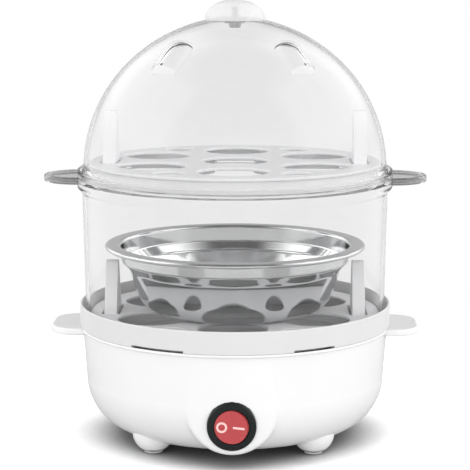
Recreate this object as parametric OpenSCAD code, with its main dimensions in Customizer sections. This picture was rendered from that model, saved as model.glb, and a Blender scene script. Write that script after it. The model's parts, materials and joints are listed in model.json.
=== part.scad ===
// Two-storey egg cooker.
// Base with heating plate and rocker switch, two egg trays, a steel steam bowl,
// a clear middle tier and a clear dome lid. Millimetres, +Z up, the front faces -Y.
// The origin is on the ground, on the axis of the round parts.

/* [Base housing] */
// Outer radius of the collar, the ring that tops the housing
collar_r = 77; // [74:0.5:82]
// Height of the collar's rim above the ground
collar_top = 67; // [65:0.5:72]
// Height of the seam between bowl and collar
seam_z = 56.1; // [54:0.1:57]
// Gap between the ground and the bowl's underside
bowl_clear = 5.1; // [4.4:0.1:6]
// Radius of the flat middle of the bowl's underside
bowl_flat_r = 50.5; // [48:0.5:53]
// Height of the bowl's rounded corner
bowl_corner_h = 25.8; // [23:0.2:28]
// Wall of the moulded housing
shell_t = 2.2; // [1.8:0.1:2.6]
// Thickness of the two side grips
grip_t = 3.5; // [2.5:0.1:4.5]
// Length of a side grip along the wall
grip_len = 38.9; // [34:0.5:44]
// How far a side grip stands out of the collar
grip_reach = 13.9; // [12.5:0.1:18]

/* [Feet] */
// Radius of a ball foot
foot_r = 10.2; // [9:0.1:11.5]
// Distance from the axis to a ball foot
foot_ring = 54.6; // [52:0.2:56]
// Height of the soft pad under a foot
pad_h = 0.8; // [0.6:0.1:1.4]

/* [Switch] */
// Height of the middle of the switch
switch_z = 21.7; // [20.5:0.1:23.5]
// Radius of the switch's black flange
bezel_r = 11.55; // [11.3:0.05:12.2]
// Thickness of the switch's black flange
bezel_t = 1.9; // [1.5:0.1:2.5]
// Radius of the switch's body behind the panel
switch_body_r = 9.9; // [9.7:0.05:10.3]
// Radius of the red rocker
rocker_r = 8.0; // [7.6:0.05:8.2]
// Tilt of the rocker to each side of its middle position
rocker_tilt = 10; // [7:0.5:12]
// Radius of the round lower part of the pod round the switch
pod_r = 22.4; // [20:0.2:24]
// Height of the middle of the pod's round part
pod_z = 30.0; // [29:0.2:33]

/* [Trays] */
// Width of the base's rim outside a tray, with the tier's wall in it
rim_w = 5.1; // [5:0.1:6]
// Thickness of a tray's plate
tray_t = 1.6; // [1.2:0.1:2.2]
// Height of a tray from the foot of its skirt to its top face
tray_h = 8.0; // [7:0.1:10]
// Radius of an egg hole
egg_r = 16.8; // [15:0.1:18]
// Width of the plate outside the ring of egg holes
egg_land = 9.5; // [8:0.1:10.5]
// Radius of the four steam holes near a tray's rim
steam_hole_r = 7.4; // [5:0.1:8]
// Height of a tray handle above the plate
handle_h = 24.9; // [20:0.5:28]
// Thickness of a tray handle
handle_t = 6.2; // [5:0.1:6.8]

/* [Steam bowl] */
// Gap between the steam bowl's rolled rim and the foot of the tier
steam_gap = 7.7; // [6.5:0.1:9]
// Height of the steam bowl
steam_h = 33.8; // [30:0.2:38]
// Thickness of the steel sheet
steel_t = 0.6; // [0.5:0.1:1.0]
// Rounding between the steam bowl's floor and wall
steam_corner_r = 14.1; // [12:0.1:16]

/* [Clear tier] */
// Height of the tier from its foot to its rim
tier_h = 74.2; // [70:0.5:85]
// Wall of the clear parts
clear_t = 1.8; // [1.4:0.1:2]
// Radius of a grip of the tier
ear_r = 18; // [15:0.5:20]
// Thickness of a tier grip's raised border
ear_t = 3.6; // [3:0.1:4.5]

/* [Lid] */
// Height of the dome above the tier's rim
dome_h = 75.6; // [70:0.5:85]
// Angle of each steam vent from the front
vent_angle = 37; // [30:1:45]
// Radius of a steam vent's hood
vent_r = 10.5; // [9:0.1:11.5]
// Length of the straight part of a steam vent's hood
vent_len = 14; // [10:0.5:16]
// Radius of the knob's foot
knob_r = 15.4; // [14:0.2:17]
// Height of the knob above the dome's crown
knob_h = 8.4; // [7:0.2:10]

/* [Heating] */
// Radius of the heating plate's flange
plate_r = 50; // [48.5:0.1:50.2]
// Depth of the heating plate's dish
plate_depth = 4.5; // [3:0.1:6]
// Length of the heater block
heater_len = 44; // [36:1:50]
// Height of the heater block
heater_h = 6; // [5:0.1:7]

/* [Mains inlet] */
// Radius of the gland's bore, for the mains lead
gland_bore = 3.5; // [3:0.1:4]
// Height of the gland's bore above the ground
gland_z = 24; // [22:0.2:28]

/* [Hidden] */
$fn = 96;

// Colours
white = [0.95, 0.95, 0.95];
tray_grey = [0.86, 0.86, 0.87];
clear = [0.85, 0.90, 0.95, 0.35];
steel = [0.78, 0.79, 0.80];
black = [0.13, 0.15, 0.15];
red = [0.73, 0.26, 0.27];
brass = [0.80, 0.68, 0.40];

// Clearances
slip = 0.3;       // between pieces that lift apart
fit = 0.1;        // between pieces that are fastened together
running = 0.05;   // round the rocker's pins
eps = 0.01;       // overlap of cutters

// The round parts follow the collar
tray_r = collar_r - rim_w;
egg_ring = tray_r - egg_land - egg_r;
steam_rim_r = tray_r + slip - steam_gap;

// Housing
bowl_top_r = collar_r - 1.1;
bowl_mid_r = bowl_top_r - 1.7;
bowl_mid_z = bowl_clear + bowl_corner_h;
bowl_in_r = bowl_top_r - shell_t;
bowl_floor = bowl_clear + shell_t;
bead_r = 0.75;
bead_out_r = collar_r + 0.2;
rim_t = 1.0;
step_z = seam_z + 1.7;           // the tier stands here
ledge_z = step_z - 3.6;          // the trays stand here
ledge_t = 2.0;
spigot_r = bowl_in_r - slip;
step_in_r = tray_r - 0.9;
ledge_in_r = step_in_r - 4.0;
basin_z = ledge_z - 7.4;
basin_t = 1.8;
basin_r = ledge_in_r - 6;
plate_hole_r = plate_r - 3.5;
slot_h = 1.1;
slot_angle = 28.5;
slot_half = 9.5;

// Feet and housing screws
foot_angles = [45, 135, 225, 315];
foot_z = foot_r - 0.4;
pad_r = 4.4;
post_r = 5;
post_top = 20;
well_r = 3.6;
well_top = 14;
boss_r = 4;
screw_r = 1.5;
head_r = 3.2;
head_h = 2.2;
screw_grip = 12;

// Heating plate and what hangs under it
sheet_t = 0.8;
seal_t = 0.9;
flange_z = basin_z - basin_t - seal_t;
dish_z = flange_z - plate_depth;
under_z = dish_z - sheet_t;
heater_z = under_z - heater_h;
heater_w = 26;
clip_angles = [90, 210, 330];
clip_t = 1.0;
clamp_x = 56;
clamp_w = 12;
clamp_boss_z = heater_z + 0.8;
small_head_r = 2.6;
small_head_h = 1.8;
small_screw_r = 1.2;
stat_y = -24;
stat_r = 8.2;
fuse_y = 24;
fuse_r = 2.3;
fuse_len = 26;

// Pod and switch
pod_taper = 10;
pod_draft = 2.5;
pod_face_r = bowl_mid_r + 0.1;
seat_depth = 0.9;
panel_t = 2.2;
seat_y = pod_face_r - seat_depth;
rocker_gap = 0.3;
pivot_depth = 1.2;
facet_rise = 0.8;
pin_r = 1.2;
pin_reach = 1.25;
switch_len = 15;
mark_h = 0.25;

// Mains inlet
gland_pad_r = 9.5;
gland_pad_y = bowl_mid_r + 0.8;
gland_wall_y = gland_pad_y - shell_t - 2;
gland_flange_r = 7.5;
gland_body_r = 5.5;
gland_in = 6;
gland_out = 2.5;
clamp_post_x = 8;
clamp_post_y = gland_wall_y - gland_in - 8.8;
clamp_post_r = 3.2;

// Wiring
block_l = 20;
block_w = 14;
block_h = 12;
block_x = 20;
block_y = bowl_flat_r - 19.5;
block_bore = 5;
block_wire_h = 4.5;
wire_r = 1.1;
bend_r = 3;
blade_w = 4.8;
blade_t = 0.8;
blade_l = 8;
blade_x = 4.8;
receptacle = [5.6, 2.4, 9];
receptacle_back = switch_len + blade_l + 1.5;

// Trays
skirt_r = tray_r - 1.7;
skirt_t = 1.5;
handle_x = tray_r - 13.9;
handle_foot = 13.5;
handle_tip = 2.3;
steam_hole_ring = tray_r - 12.3;
rib_end = steam_hole_ring - steam_hole_r - 1;
tray_top = ledge_z + tray_h;

// Tier and lid
foot_in_r = tray_r + slip;
foot_out_r = foot_in_r + clear_t;
tier_foot = step_z;
tier_rim = tier_foot + tier_h;
tier_rim_r = foot_out_r + 3.7;
neck_r = foot_out_r + 1.2;
neck_z = tier_rim - 10.2;
flare_z = tier_rim - 7;
shelf_z = tier_rim - 3;
shelf_t = 1.6;
shelf_in_r = skirt_r - 1.9;
upper_top = shelf_z + tray_h;
ear_z = tier_rim - 5.1;
dome_r = foot_out_r + 0.7;
dome_base = tier_rim - 1.4;
dome_rise = dome_h + 1.4;
dome_top = tier_rim + dome_h;
dome_foot_h = 2.8;
lid_skirt_out = tier_rim_r - clear_t - slip;
lid_skirt_in = lid_skirt_out - clear_t;
dome_side = 1.063;               // how the dome's radius falls off with height
dome_crown = 0.944;              // how its height grows
vent_lift = 49;                  // place of a vent up the dome, 0 at its foot and 90 at its crown
vent_rise = 4.5;
vent_wall = 1.6;
knob_hole_r = 2.2;

// Steam bowl
steam_floor = tray_top;
steam_top = steam_floor + steam_h;
steam_roll_r = 1.1;

// ---------------------------------------------------------------- helpers

// Points of an elliptic arc from angle a0 to a1
function arc(cx, cy, rx, ry, a0, a1, n) =
    [for (i = [0:n]) let (a = a0 + (a1 - a0) * i / n) [cx + rx * cos(a), cy + ry * sin(a)]];

function reversed(p) = [for (i = [len(p) - 1:-1:0]) p[i]];

function unit(v) = v / norm(v);

// The arc that rounds corner i of an outline; its radius is the corner's third number
function corner_arc(p, i) =
    let (
        r = p[i][2],
        n = len(p),
        here = [p[i][0], p[i][1]],
        back = p[(i + n - 1) % n],
        next = p[(i + 1) % n],
        to_back = unit([back[0], back[1]] - here),
        to_next = unit([next[0], next[1]] - here),
        half = acos(to_back * to_next) / 2,
        centre = here + unit(to_back + to_next) * r / sin(half),
        start = here + to_back * r / tan(half) - centre,
        end = here + to_next * r / tan(half) - centre,
        turn = atan2(cross(start, end), start * end),
        steps = ceil(abs(turn) / (r > 2 ? 8 : 20))
    )
    [for (k = [0:steps])
        let (a = atan2(start[1], start[0]) + turn * k / steps)
        centre + r * [cos(a), sin(a)]];

// An outline of points [x, y], or [x, y, r] where the corner is rounded to r
function rounded(p) = [
    for (i = [0:len(p) - 1])
        each (len(p[i]) == 2 ? [p[i]] : corner_arc(p, i))
];

// Left normal of the segment from point i to point i + 1
function left_normal(p, i) = let (d = unit(p[i + 1] - p[i])) [-d[1], d[0]];

// The path moved to its left by t, with mitred corners
function beside(p, t) = [
    for (i = [0:len(p) - 1])
        let (
            n1 = i == 0 ? left_normal(p, 0) : left_normal(p, i - 1),
            n2 = i == len(p) - 1 ? n1 : left_normal(p, i),
            m = unit(n1 + n2)
        )
        p[i] + m * t / (m * n1)
];

// A sheet of thickness t on the left of a path, turned round the axis
module turned_sheet(path, t) {
    rotate_extrude()
        polygon(concat(path, reversed(beside(path, t))));
}

module turned(points) {
    rotate_extrude()
        polygon(points);
}

module tube(r_out, r_in, h) {
    difference() {
        cylinder(r = r_out, h = h);
        translate([0, 0, -eps])
            cylinder(r = r_in, h = h + 2 * eps);
    }
}

// Places its children on the front face of the pod, +Z pointing out
module on_panel() {
    translate([0, -seat_y, switch_z])
        rotate([90 + pod_draft, 0, 0])
            children();
}

// A round-headed screw, its head's seat at z = 0 and its shank upwards
module screw(r, length, r_head, h_head) {
    difference() {
        union() {
            cylinder(r = r, h = length);
            translate([0, 0, -h_head])
                cylinder(r1 = r_head - 0.6, r2 = r_head, h = h_head);
        }
        for (a = [0, 90])
            rotate(a)
                translate([-r_head * 0.65, -0.4, -h_head - eps])
                    cube([r_head * 1.3, 0.8, h_head * 0.5]);
    }
}

// ---------------------------------------------------------------- housing

function bowl_path(inset) = concat(
    [[0, bowl_clear + inset]],
    arc(bowl_flat_r, bowl_mid_z, bowl_mid_r - bowl_flat_r - inset, bowl_corner_h - inset, -90, 0, 18),
    [[bowl_top_r - inset, seam_z]]
);

module bowl_form(inset, top) {
    path = bowl_path(inset);
    turned(concat(path, [[bowl_top_r - inset, top], [0, top]]));
}

function pod_face(z) = pod_face_r + (z - switch_z) * tan(pod_draft);

// Outline of the pod seen from the front: round below, tapering sides above
module pod_outline(inset) {
    r = pod_r - inset;
    side_x = r * cos(pod_taper);
    side_z = pod_z + r * sin(pod_taper);
    top_x = side_x - (seam_z - side_z) * tan(pod_taper);
    polygon(concat(
        arc(0, pod_z, r, r, pod_taper, -180 - pod_taper, 48),
        [[-top_x, seam_z - eps], [top_x, seam_z - eps]]
    ));
}

module pod_form(inset) {
    low = pod_z - pod_r - 1;
    intersection() {
        translate([0, -40, 0])
            rotate([90, 0, 0])
                linear_extrude(60)
                    pod_outline(inset);
        turned([[30, low], [pod_face(low) - inset, low],
                [pod_face(seam_z) - inset, seam_z], [30, seam_z]]);
    }
}

module grip_outline() {
    tip = collar_r + grip_reach;
    corner = 12;
    half = grip_len / 2;
    translate([0, -half])
        square([tip - corner, grip_len]);
    translate([tip - corner - eps, -half + corner])
        square([corner + eps, grip_len - 2 * corner]);
    for (s = [-1, 1])
        translate([tip - corner, s * (half - corner)])
            circle(r = corner);
}

module grips() {
    difference() {
        for (s = [0, 180])
            rotate(s)
                translate([0, 0, seam_z - grip_t])
                    linear_extrude(grip_t)
                        grip_outline();
        translate([0, 0, seam_z - grip_t - 1])
            cylinder(r = bowl_top_r - shell_t / 2, h = grip_t + 2);
    }
}

module bead() {
    rotate_extrude() {
        translate([bead_out_r - bead_r, seam_z - bead_r])
            circle(r = bead_r, $fn = 24);
        translate([bowl_top_r - shell_t / 2, seam_z - 2 * bead_r])
            square([bead_out_r - bead_r - bowl_top_r + shell_t / 2, 2 * bead_r]);
    }
}

module at_feet() {
    for (a = foot_angles)
        rotate(a)
            translate([foot_ring, 0, 0])
                children();
}

module base_bowl() {
    color(white)
    difference() {
        union() {
            bowl_form(0, seam_z);
            pod_form(0);
            grips();
            bead();
            at_feet()
                translate([0, 0, foot_z])
                    sphere(r = foot_r);
            translate([0, 0, gland_z])
                rotate([-90, 0, 0])
                    cylinder(r = gland_pad_r, h = gland_pad_y);
        }
        difference() {
            union() {
                bowl_form(shell_t, seam_z + 1);
                pod_form(shell_t);
                translate([0, 0, gland_z])
                    rotate([-90, 0, 0])
                        cylinder(r = gland_pad_r - shell_t, h = gland_pad_y - shell_t);
            }
            at_feet()
                cylinder(r = post_r, h = post_top);
            for (s = [-1, 1])
                translate([s * clamp_post_x, clamp_post_y, 0])
                    cylinder(r = clamp_post_r, h = gland_z + gland_bore);
        }
        // screw wells under the feet, and the flats the pads sit on
        at_feet() {
            translate([0, 0, -1])
                cylinder(r = well_r, h = well_top + 1);
            cylinder(r = screw_r + fit, h = post_top + 1);
            translate([0, 0, -foot_r])
                cylinder(r = foot_r + 1, h = foot_r + pad_h);
        }
        for (s = [-1, 1])
            translate([s * clamp_post_x, clamp_post_y, gland_z - 6])
                cylinder(r = small_screw_r + running, h = 20);
        // panel hole, its flat seat and the gland's hole
        on_panel() {
            cylinder(r = bezel_r + 0.25, h = 6);
            translate([0, 0, -panel_t - 3])
                cylinder(r = switch_body_r + fit, h = panel_t + 4);
        }
        translate([0, gland_wall_y - 3, gland_z])
            rotate([-90, 0, 0])
                cylinder(r = gland_body_r + fit, h = 12);
        // air paths behind the two slots
        for (s = [-1, 1])
            slot_cutter(s * slot_angle, bowl_in_r - 1, bowl_top_r - 0.8, seam_z - 4, 5);
    }
}

// A block bent round the axis, centred at an angle from the front
module slot_cutter(angle, r_in, r_out, z, h) {
    rotate(angle - 90 - slot_half)
        translate([0, 0, z])
            rotate_extrude(angle = 2 * slot_half)
                translate([r_in, 0])
                    square([r_out - r_in, h]);
}

module base_collar() {
    color(white)
    difference() {
        union() {
            turned(rounded([
                [collar_r, seam_z, 0.3], [collar_r, collar_top, 0.6],
                [collar_r - rim_t, collar_top, 0.3], [collar_r - rim_t - 0.8, step_z],
                [step_in_r, step_z, 0.3], [step_in_r - 0.2, ledge_z], [ledge_in_r, ledge_z, 1],
                [basin_r, basin_z, 3], [plate_hole_r, basin_z - 0.3, 0.4],
                [plate_hole_r, basin_z - basin_t], [basin_r + 1, basin_z - basin_t, 4.8],
                [ledge_in_r + 1.4, ledge_z - ledge_t, 0.6], [spigot_r, ledge_z - ledge_t, 0.4],
                [spigot_r, seam_z]
            ]));
            at_feet()
                translate([0, 0, post_top])
                    cylinder(r = boss_r, h = basin_z - basin_t - post_top + 0.5);
            at_clips()
                translate([0, 0, flange_z - sheet_t])
                    cylinder(r = 3.4, h = basin_z - basin_t - flange_z + sheet_t + 0.5);
            at_clamp_ends()
                translate([0, 0, clamp_boss_z])
                    cylinder(r = boss_r, h = basin_z - basin_t - clamp_boss_z + 0.5);
        }
        at_feet()
            translate([0, 0, post_top - 1])
                cylinder(r = screw_r + running, h = screw_grip + 2);
        at_clips()
            translate([0, 0, flange_z - sheet_t - 1])
                cylinder(r = small_screw_r + running, h = 4.2);
        at_clamp_ends()
            translate([0, 0, clamp_boss_z - 1])
                cylinder(r = small_screw_r + running, h = 9);
        for (s = [-1, 1])
            slot_cutter(s * slot_angle, spigot_r + 0.4, collar_r + 1, seam_z - 1, slot_h + 1);
    }
}

module foot_pads() {
    color(tray_grey)
    at_feet() {
        cylinder(r = pad_r, h = pad_h);
        cylinder(r = well_r - 0.15, h = 6);
    }
}

module housing_screws() {
    color(steel)
    at_feet()
        translate([0, 0, well_top])
            screw(screw_r, post_top - well_top + screw_grip, head_r, head_h);
}

// ---------------------------------------------------------------- heating

module at_clips() {
    for (a = clip_angles)
        rotate(a)
            translate([foot_ring, 0, 0])
                children();
}

module at_clamp_ends() {
    for (s = [-1, 1])
        translate([s * clamp_x, 0, 0])
            children();
}

module heating_plate() {
    color(steel)
        turned_sheet(rounded([
            [0, under_z], [plate_hole_r - 4, under_z, 2], [plate_hole_r - 0.8, flange_z - sheet_t, 1.2],
            [plate_r, flange_z - sheet_t]
        ]), sheet_t);
}

module plate_seal() {
    color([0.75, 0.30, 0.22])
        translate([0, 0, flange_z])
            tube(plate_r, plate_hole_r + 0.1, seal_t);
}

module plate_clips() {
    color(steel)
    for (a = clip_angles)
        rotate(a)
            difference() {
                translate([plate_hole_r + 0.6, -4, flange_z - sheet_t - clip_t])
                    cube([foot_ring + 4 - plate_hole_r, 8, clip_t]);
                translate([foot_ring, 0, 0])
                    cylinder(r = small_screw_r + fit, h = flange_z);
            }
}

module clip_screws() {
    color(steel)
    at_clips()
        translate([0, 0, flange_z - sheet_t - clip_t])
            screw(small_screw_r, clip_t + 3, small_head_r, small_head_h);
}

module heater_block() {
    color([0.70, 0.71, 0.73])
    translate([-heater_len / 2, -heater_w / 2, heater_z]) {
        translate([0, 3, 0])
            cube([heater_len, heater_w - 6, heater_h]);
        // side fins of the block
        for (y = [0, heater_w - 2])
            translate([2, y, 1])
                cube([heater_len - 4, 2, heater_h - 1]);
        translate([2, 0, heater_h - 1.2])
            cube([heater_len - 4, heater_w, 1.2]);
    }
}

// The strap is a cross: its long arms are screwed to the collar, its short
// arms press the thermostat and the fuse to the plate
module heater_clamp() {
    bend = heater_len / 2 + 6;
    end_x = clamp_x + 5;
    top = clamp_boss_z;
    arm = [
        [-end_x, top], [-bend - 6, top], [-bend, heater_z], [bend, heater_z],
        [bend + 6, top], [end_x, top]
    ];
    color(steel)
    difference() {
        union() {
            translate([0, clamp_w / 2, 0])
                rotate([90, 0, 0])
                    linear_extrude(clamp_w)
                        polygon(concat(arm, reversed(beside(arm, -sheet_t))));
            translate([-5, stat_y - 8, heater_z - sheet_t])
                cube([10, -stat_y + 8, sheet_t]);
            translate([-4, 0, heater_z - sheet_t])
                cube([8, fuse_y - 6, sheet_t]);
            rotate([90, 0, 90])
                translate([0, 0, -4])
                    linear_extrude(8)
                        polygon(fuse_arm());
        }
        at_clamp_ends()
            cylinder(r = small_screw_r + fit, h = 60);
    }
}

function fuse_arm() =
    let (
        seat = under_z - 2 * fuse_r,
        path = [[fuse_y - 6.1, heater_z], [fuse_y - 4, seat], [fuse_y + 4, seat]]
    )
    concat(path, reversed(beside(path, -sheet_t)));

module clamp_screws() {
    color(steel)
    at_clamp_ends()
        translate([0, 0, clamp_boss_z - sheet_t])
            screw(small_screw_r, 8, small_head_r, small_head_h);
}

module thermostat() {
    color(black)
    translate([0, stat_y, 0]) {
        translate([0, 0, under_z - 2.4])
            cylinder(r = stat_r, h = 2.4);
        translate([0, 0, heater_z])
            cylinder(r = stat_r - 1, h = heater_h - 2.4);
    }
}

module thermal_fuse() {
    color([0.85, 0.83, 0.75])
    translate([-fuse_len / 2, fuse_y, under_z - fuse_r])
        rotate([0, 90, 0])
            cylinder(r = fuse_r, h = fuse_len);
}

// ---------------------------------------------------------------- wiring

module terminal_block() {
    color([0.90, 0.89, 0.84])
    translate([block_x, block_y, bowl_floor])
        difference() {
            translate([-block_l / 2, -block_w / 2, 0])
                cube([block_l, block_w, block_h]);
            for (x = [-block_bore, block_bore]) {
                translate([x, 0, block_h - 4])
                    cylinder(r = 2.2, h = 5);
                translate([x, -block_w / 2 - 1, block_wire_h])
                    rotate([-90, 0, 0])
                        cylinder(r = 1.8, h = block_w + 2);
            }
        }
}

// The points of a lead's centre line, with each corner cut to a short curve
function eased(p) = concat(
    [p[0]],
    [for (i = [1:len(p) - 2])
        let (
            a = p[i] + unit(p[i - 1] - p[i]) * bend_r,
            b = p[i] + unit(p[i + 1] - p[i]) * bend_r
        )
        for (k = [0:3])
            let (t = k / 3)
            a * pow(1 - t, 2) + p[i] * 2 * t * (1 - t) + b * t * t],
    [p[len(p) - 1]]
);

// A lead swept along a hand-laid route, as rings of points joined by faces
module lead(route) {
    path = eased(route);
    last = len(path) - 1;
    sides = 8;
    lean = [0.36, 0.48, 0.80];
    rings = [
        for (i = [0:last])
            let (
                d = unit(path[min(i + 1, last)] - path[max(i - 1, 0)]),
                u = unit(cross(d, lean)),
                v = cross(d, u)
            )
            for (k = [0:sides - 1])
                path[i] + wire_r * (u * cos(360 * k / sides) + v * sin(360 * k / sides))
    ];
    walls = [
        for (i = [0:last - 1], k = [0:sides - 1])
            let (n = (k + 1) % sides)
            [i * sides + k, i * sides + n, (i + 1) * sides + n, (i + 1) * sides + k]
    ];
    ends = [[for (k = [sides - 1:-1:0]) k], [for (k = [0:sides - 1]) last * sides + k]];
    polyhedron(points = rings, faces = concat(walls, ends));
}

tail_y = -seat_y + receptacle_back;
tail_z = switch_z + receptacle_back * tan(pod_draft);
block_front = block_y - block_w / 2;
block_wire_z = bowl_floor + block_wire_h;
stat_wire_z = heater_z + 1.8;
fuse_z = under_z - fuse_r;
heater_wire_z = heater_z + heater_h / 2;
turn_x = heater_len / 2 + 10;

module inner_wires() {
    color([0.82, 0.22, 0.18])
    // mains block to switch
    lead([
        [block_x - block_bore, block_front + 1, block_wire_z],
        [block_x - block_bore, block_front - 12, block_wire_z],
        [blade_x, -22, tail_z], [blade_x, tail_y, tail_z]
    ]);
    color([0.15, 0.15, 0.16]) {
        // switch to thermostat
        lead([
            [-blade_x, tail_y, tail_z], [-blade_x, tail_y + 7, tail_z],
            [-18, stat_y, tail_z + 4], [-18, stat_y, stat_wire_z], [-stat_r + 1, stat_y, stat_wire_z]
        ]);
        // thermostat to heater
        lead([
            [stat_r - 1, stat_y, stat_wire_z], [turn_x, stat_y, stat_wire_z],
            [turn_x, -7, heater_wire_z], [heater_len / 2, -7, heater_wire_z]
        ]);
    }
    color([0.90, 0.90, 0.88]) {
        // heater to fuse
        lead([
            [-heater_len / 2, 7, heater_wire_z], [-turn_x, 7, heater_wire_z],
            [-turn_x, fuse_y, fuse_z], [-fuse_len / 2, fuse_y, fuse_z]
        ]);
        // fuse to mains block
        lead([
            [fuse_len / 2, fuse_y, fuse_z], [block_x + block_bore, fuse_y, fuse_z],
            [block_x + block_bore, block_front - 8, block_wire_z + 8],
            [block_x + block_bore, block_front - 8, block_wire_z],
            [block_x + block_bore, block_front + 1, block_wire_z]
        ]);
    }
}

module wire_ends() {
    color([0.86, 0.86, 0.84, 0.8])
    on_panel()
        for (x = [-blade_x, blade_x])
            translate([x - receptacle[0] / 2, -receptacle[1] / 2, -receptacle_back])
                difference() {
                    cube(receptacle);
                    translate([(receptacle[0] - blade_w) / 2 - fit, (receptacle[1] - blade_t) / 2 - fit, 1])
                        cube([blade_w + 2 * fit, blade_t + 2 * fit, receptacle[2]]);
                }
}

module cord_gland() {
    color(black)
    translate([0, 0, gland_z])
        rotate([-90, 0, 0])
            difference() {
                union() {
                    translate([0, 0, gland_wall_y - gland_in])
                        cylinder(r = gland_body_r, h = gland_in + gland_pad_y - gland_wall_y);
                    translate([0, 0, gland_pad_y])
                        cylinder(r1 = gland_flange_r, r2 = gland_body_r, h = gland_out);
                }
                translate([0, 0, gland_wall_y - gland_in - 1])
                    cylinder(r = gland_bore, h = 30);
            }
}

module cord_clamp() {
    top = gland_z + gland_bore;
    color(tray_grey)
    difference() {
        translate([-clamp_post_x - 4, clamp_post_y - 4, top])
            cube([2 * clamp_post_x + 8, 8, 3]);
        for (s = [-1, 1])
            translate([s * clamp_post_x, clamp_post_y, top - 1])
                cylinder(r = small_screw_r + fit, h = 5);
    }
}

module cord_clamp_screws() {
    color(steel)
    for (s = [-1, 1])
        translate([s * clamp_post_x, clamp_post_y, gland_z + gland_bore + 3])
            rotate([180, 0, 0])
                screw(small_screw_r, 9, small_head_r, small_head_h);
}

// ---------------------------------------------------------------- switch

module switch_bezel() {
    inner = rocker_r + rocker_gap;
    color(black)
    on_panel()
        difference() {
            union() {
                rotate_extrude()
                    polygon(concat(
                        [[0, 0], [bezel_r, 0]],
                        arc(bezel_r - 1.1, bezel_t - 1.1, 1.1, 1.1, 0, 90, 6),
                        [[inner, bezel_t], [0, bezel_t]]
                    ));
                translate([0, 0, -switch_len])
                    cylinder(r = switch_body_r, h = switch_len + eps);
            }
            translate([0, 0, bezel_t - 8])
                cylinder(r = inner, h = 9);
            // bearings of the rocker's pins
            translate([0, 0, bezel_t - pivot_depth])
                rotate([90, 0, 0])
                    cylinder(r = pin_r + running, h = 2 * (inner + pin_reach), center = true);
        }
}

module switch_terminals() {
    color(brass)
    on_panel()
        for (x = [-blade_x, blade_x])
            translate([x - blade_w / 2, -blade_t / 2, -switch_len - blade_l])
                cube([blade_w, blade_t, blade_l]);
}

// Places its children on the rocker's pivot, turned to the off position
module on_rocker() {
    on_panel()
        translate([0, 0, bezel_t - pivot_depth])
            rotate([0, -rocker_tilt, 0])
                children();
}

// The two halves of the cap rise outwards from the pivot line
module rocker_facets() {
    big = 2 * rocker_r;
    for (s = [0, 180])
        rotate(s)
            translate([0, 0, facet_rise])
                rotate([0, -rocker_tilt, 0])
                    translate([-eps, -big, 0])
                        cube([big, 2 * big, big]);
}

module switch_rocker() {
    color(red)
    on_rocker()
        difference() {
            union() {
                sphere(r = rocker_r);
                rotate([90, 0, 0])
                    cylinder(r = pin_r, h = 2 * (rocker_r + rocker_gap + pin_reach - 0.15), center = true);
            }
            rocker_facets();
            translate([-rocker_r, -rocker_r, -rocker_r - 4.6])
                cube([2 * rocker_r, 2 * rocker_r, rocker_r]);
        }
}

// The plain ring and bar let into the cap, standing just proud of it
module rocker_marks() {
    color([0.98, 0.86, 0.84])
    on_rocker() {
        rotate([0, rocker_tilt, 0])
            translate([-rocker_r * 0.56, 0, facet_rise])
                tube(2.3, 1.6, mark_h);
        rotate([0, -rocker_tilt, 0])
            translate([rocker_r * 0.48, 0, facet_rise + mark_h / 2])
                cube([5.4, 0.8, mark_h], center = true);
    }
}

// ---------------------------------------------------------------- trays

module egg_positions() {
    children();
    for (a = [30:60:330])
        rotate(a)
            translate([egg_ring, 0, 0])
                children();
}

// A handle seen from the side: a blade that narrows to its rounded tip
module handle_blade(foot, tip, h) {
    polygon(rounded([[-foot, 0], [foot, 0], [tip, h, tip * 0.7], [-tip, h, tip * 0.7]]));
}

// A tray with its top face at z = 0
module tray() {
    difference() {
        union() {
            turned(rounded([
                [0, -tray_t], [skirt_r - skirt_t, -tray_t, 0.8], [skirt_r - skirt_t - 0.2, -tray_h, 0.3],
                [skirt_r - 0.2, -tray_h, 0.3], [skirt_r, -tray_t], [tray_r, -tray_t, 0.3],
                [tray_r, 0, 0.5], [0, 0]
            ]));
            // ribs between the egg holes
            for (a = [0:60:300])
                rotate(a)
                    translate([egg_r + 3, -0.6, -tray_t - 2.4])
                        cube([rib_end - egg_r - 3, 1.2, 2.5]);
            for (a = [0, 180])
                rotate(a)
                    translate([handle_x, 0, -tray_t / 2])
                        rotate([90, 0, 90])
                            linear_extrude(handle_t)
                                handle_blade(handle_foot, handle_tip, handle_h + tray_t / 2);
        }
        egg_positions() {
            translate([0, 0, -tray_h])
                cylinder(r = egg_r, h = tray_h + 1);
            translate([0, 0, -0.8])
                cylinder(r1 = egg_r, r2 = egg_r + 0.9, h = 0.9);
        }
        for (a = [60, 120, 240, 300])
            rotate(a)
                translate([steam_hole_ring, 0, -tray_h])
                    cylinder(r = steam_hole_r, h = tray_h + 1, $fn = 48);
        // drain slots beside each handle, and the recess in its outer face
        for (a = [0, 180])
            rotate(a) {
                translate([handle_x - 1.5, -handle_foot + 1, -tray_t - 3])
                    cube([1.5, 2 * handle_foot - 2, tray_t + 4]);
                translate([handle_x + handle_t - 2, 0, 1.6])
                    rotate([90, 0, 90])
                        linear_extrude(3)
                            handle_blade(handle_foot - 3.2, handle_tip * 0.5, handle_h - 6);
            }
    }
}

module lower_tray() {
    color(tray_grey)
        translate([0, 0, tray_top])
            tray();
}

module upper_tray() {
    color(tray_grey)
        translate([0, 0, upper_top])
            tray();
}

// ---------------------------------------------------------------- steam bowl

// The bowl's outer skin from the middle of its floor to the rim, with a step for stacking
function steam_path() =
    let (r = steam_rim_r, top = steam_top)
    rounded([
        [0, steam_floor], [r - 18.5, steam_floor, steam_corner_r], [r - 13.0, top - 14.6, 1.2],
        [r - 8.3, top - 8.2, 2.4], [r - 7.2, top - steel_t, 1.2], [r - steam_roll_r, top - steel_t]
    ]);

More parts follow.
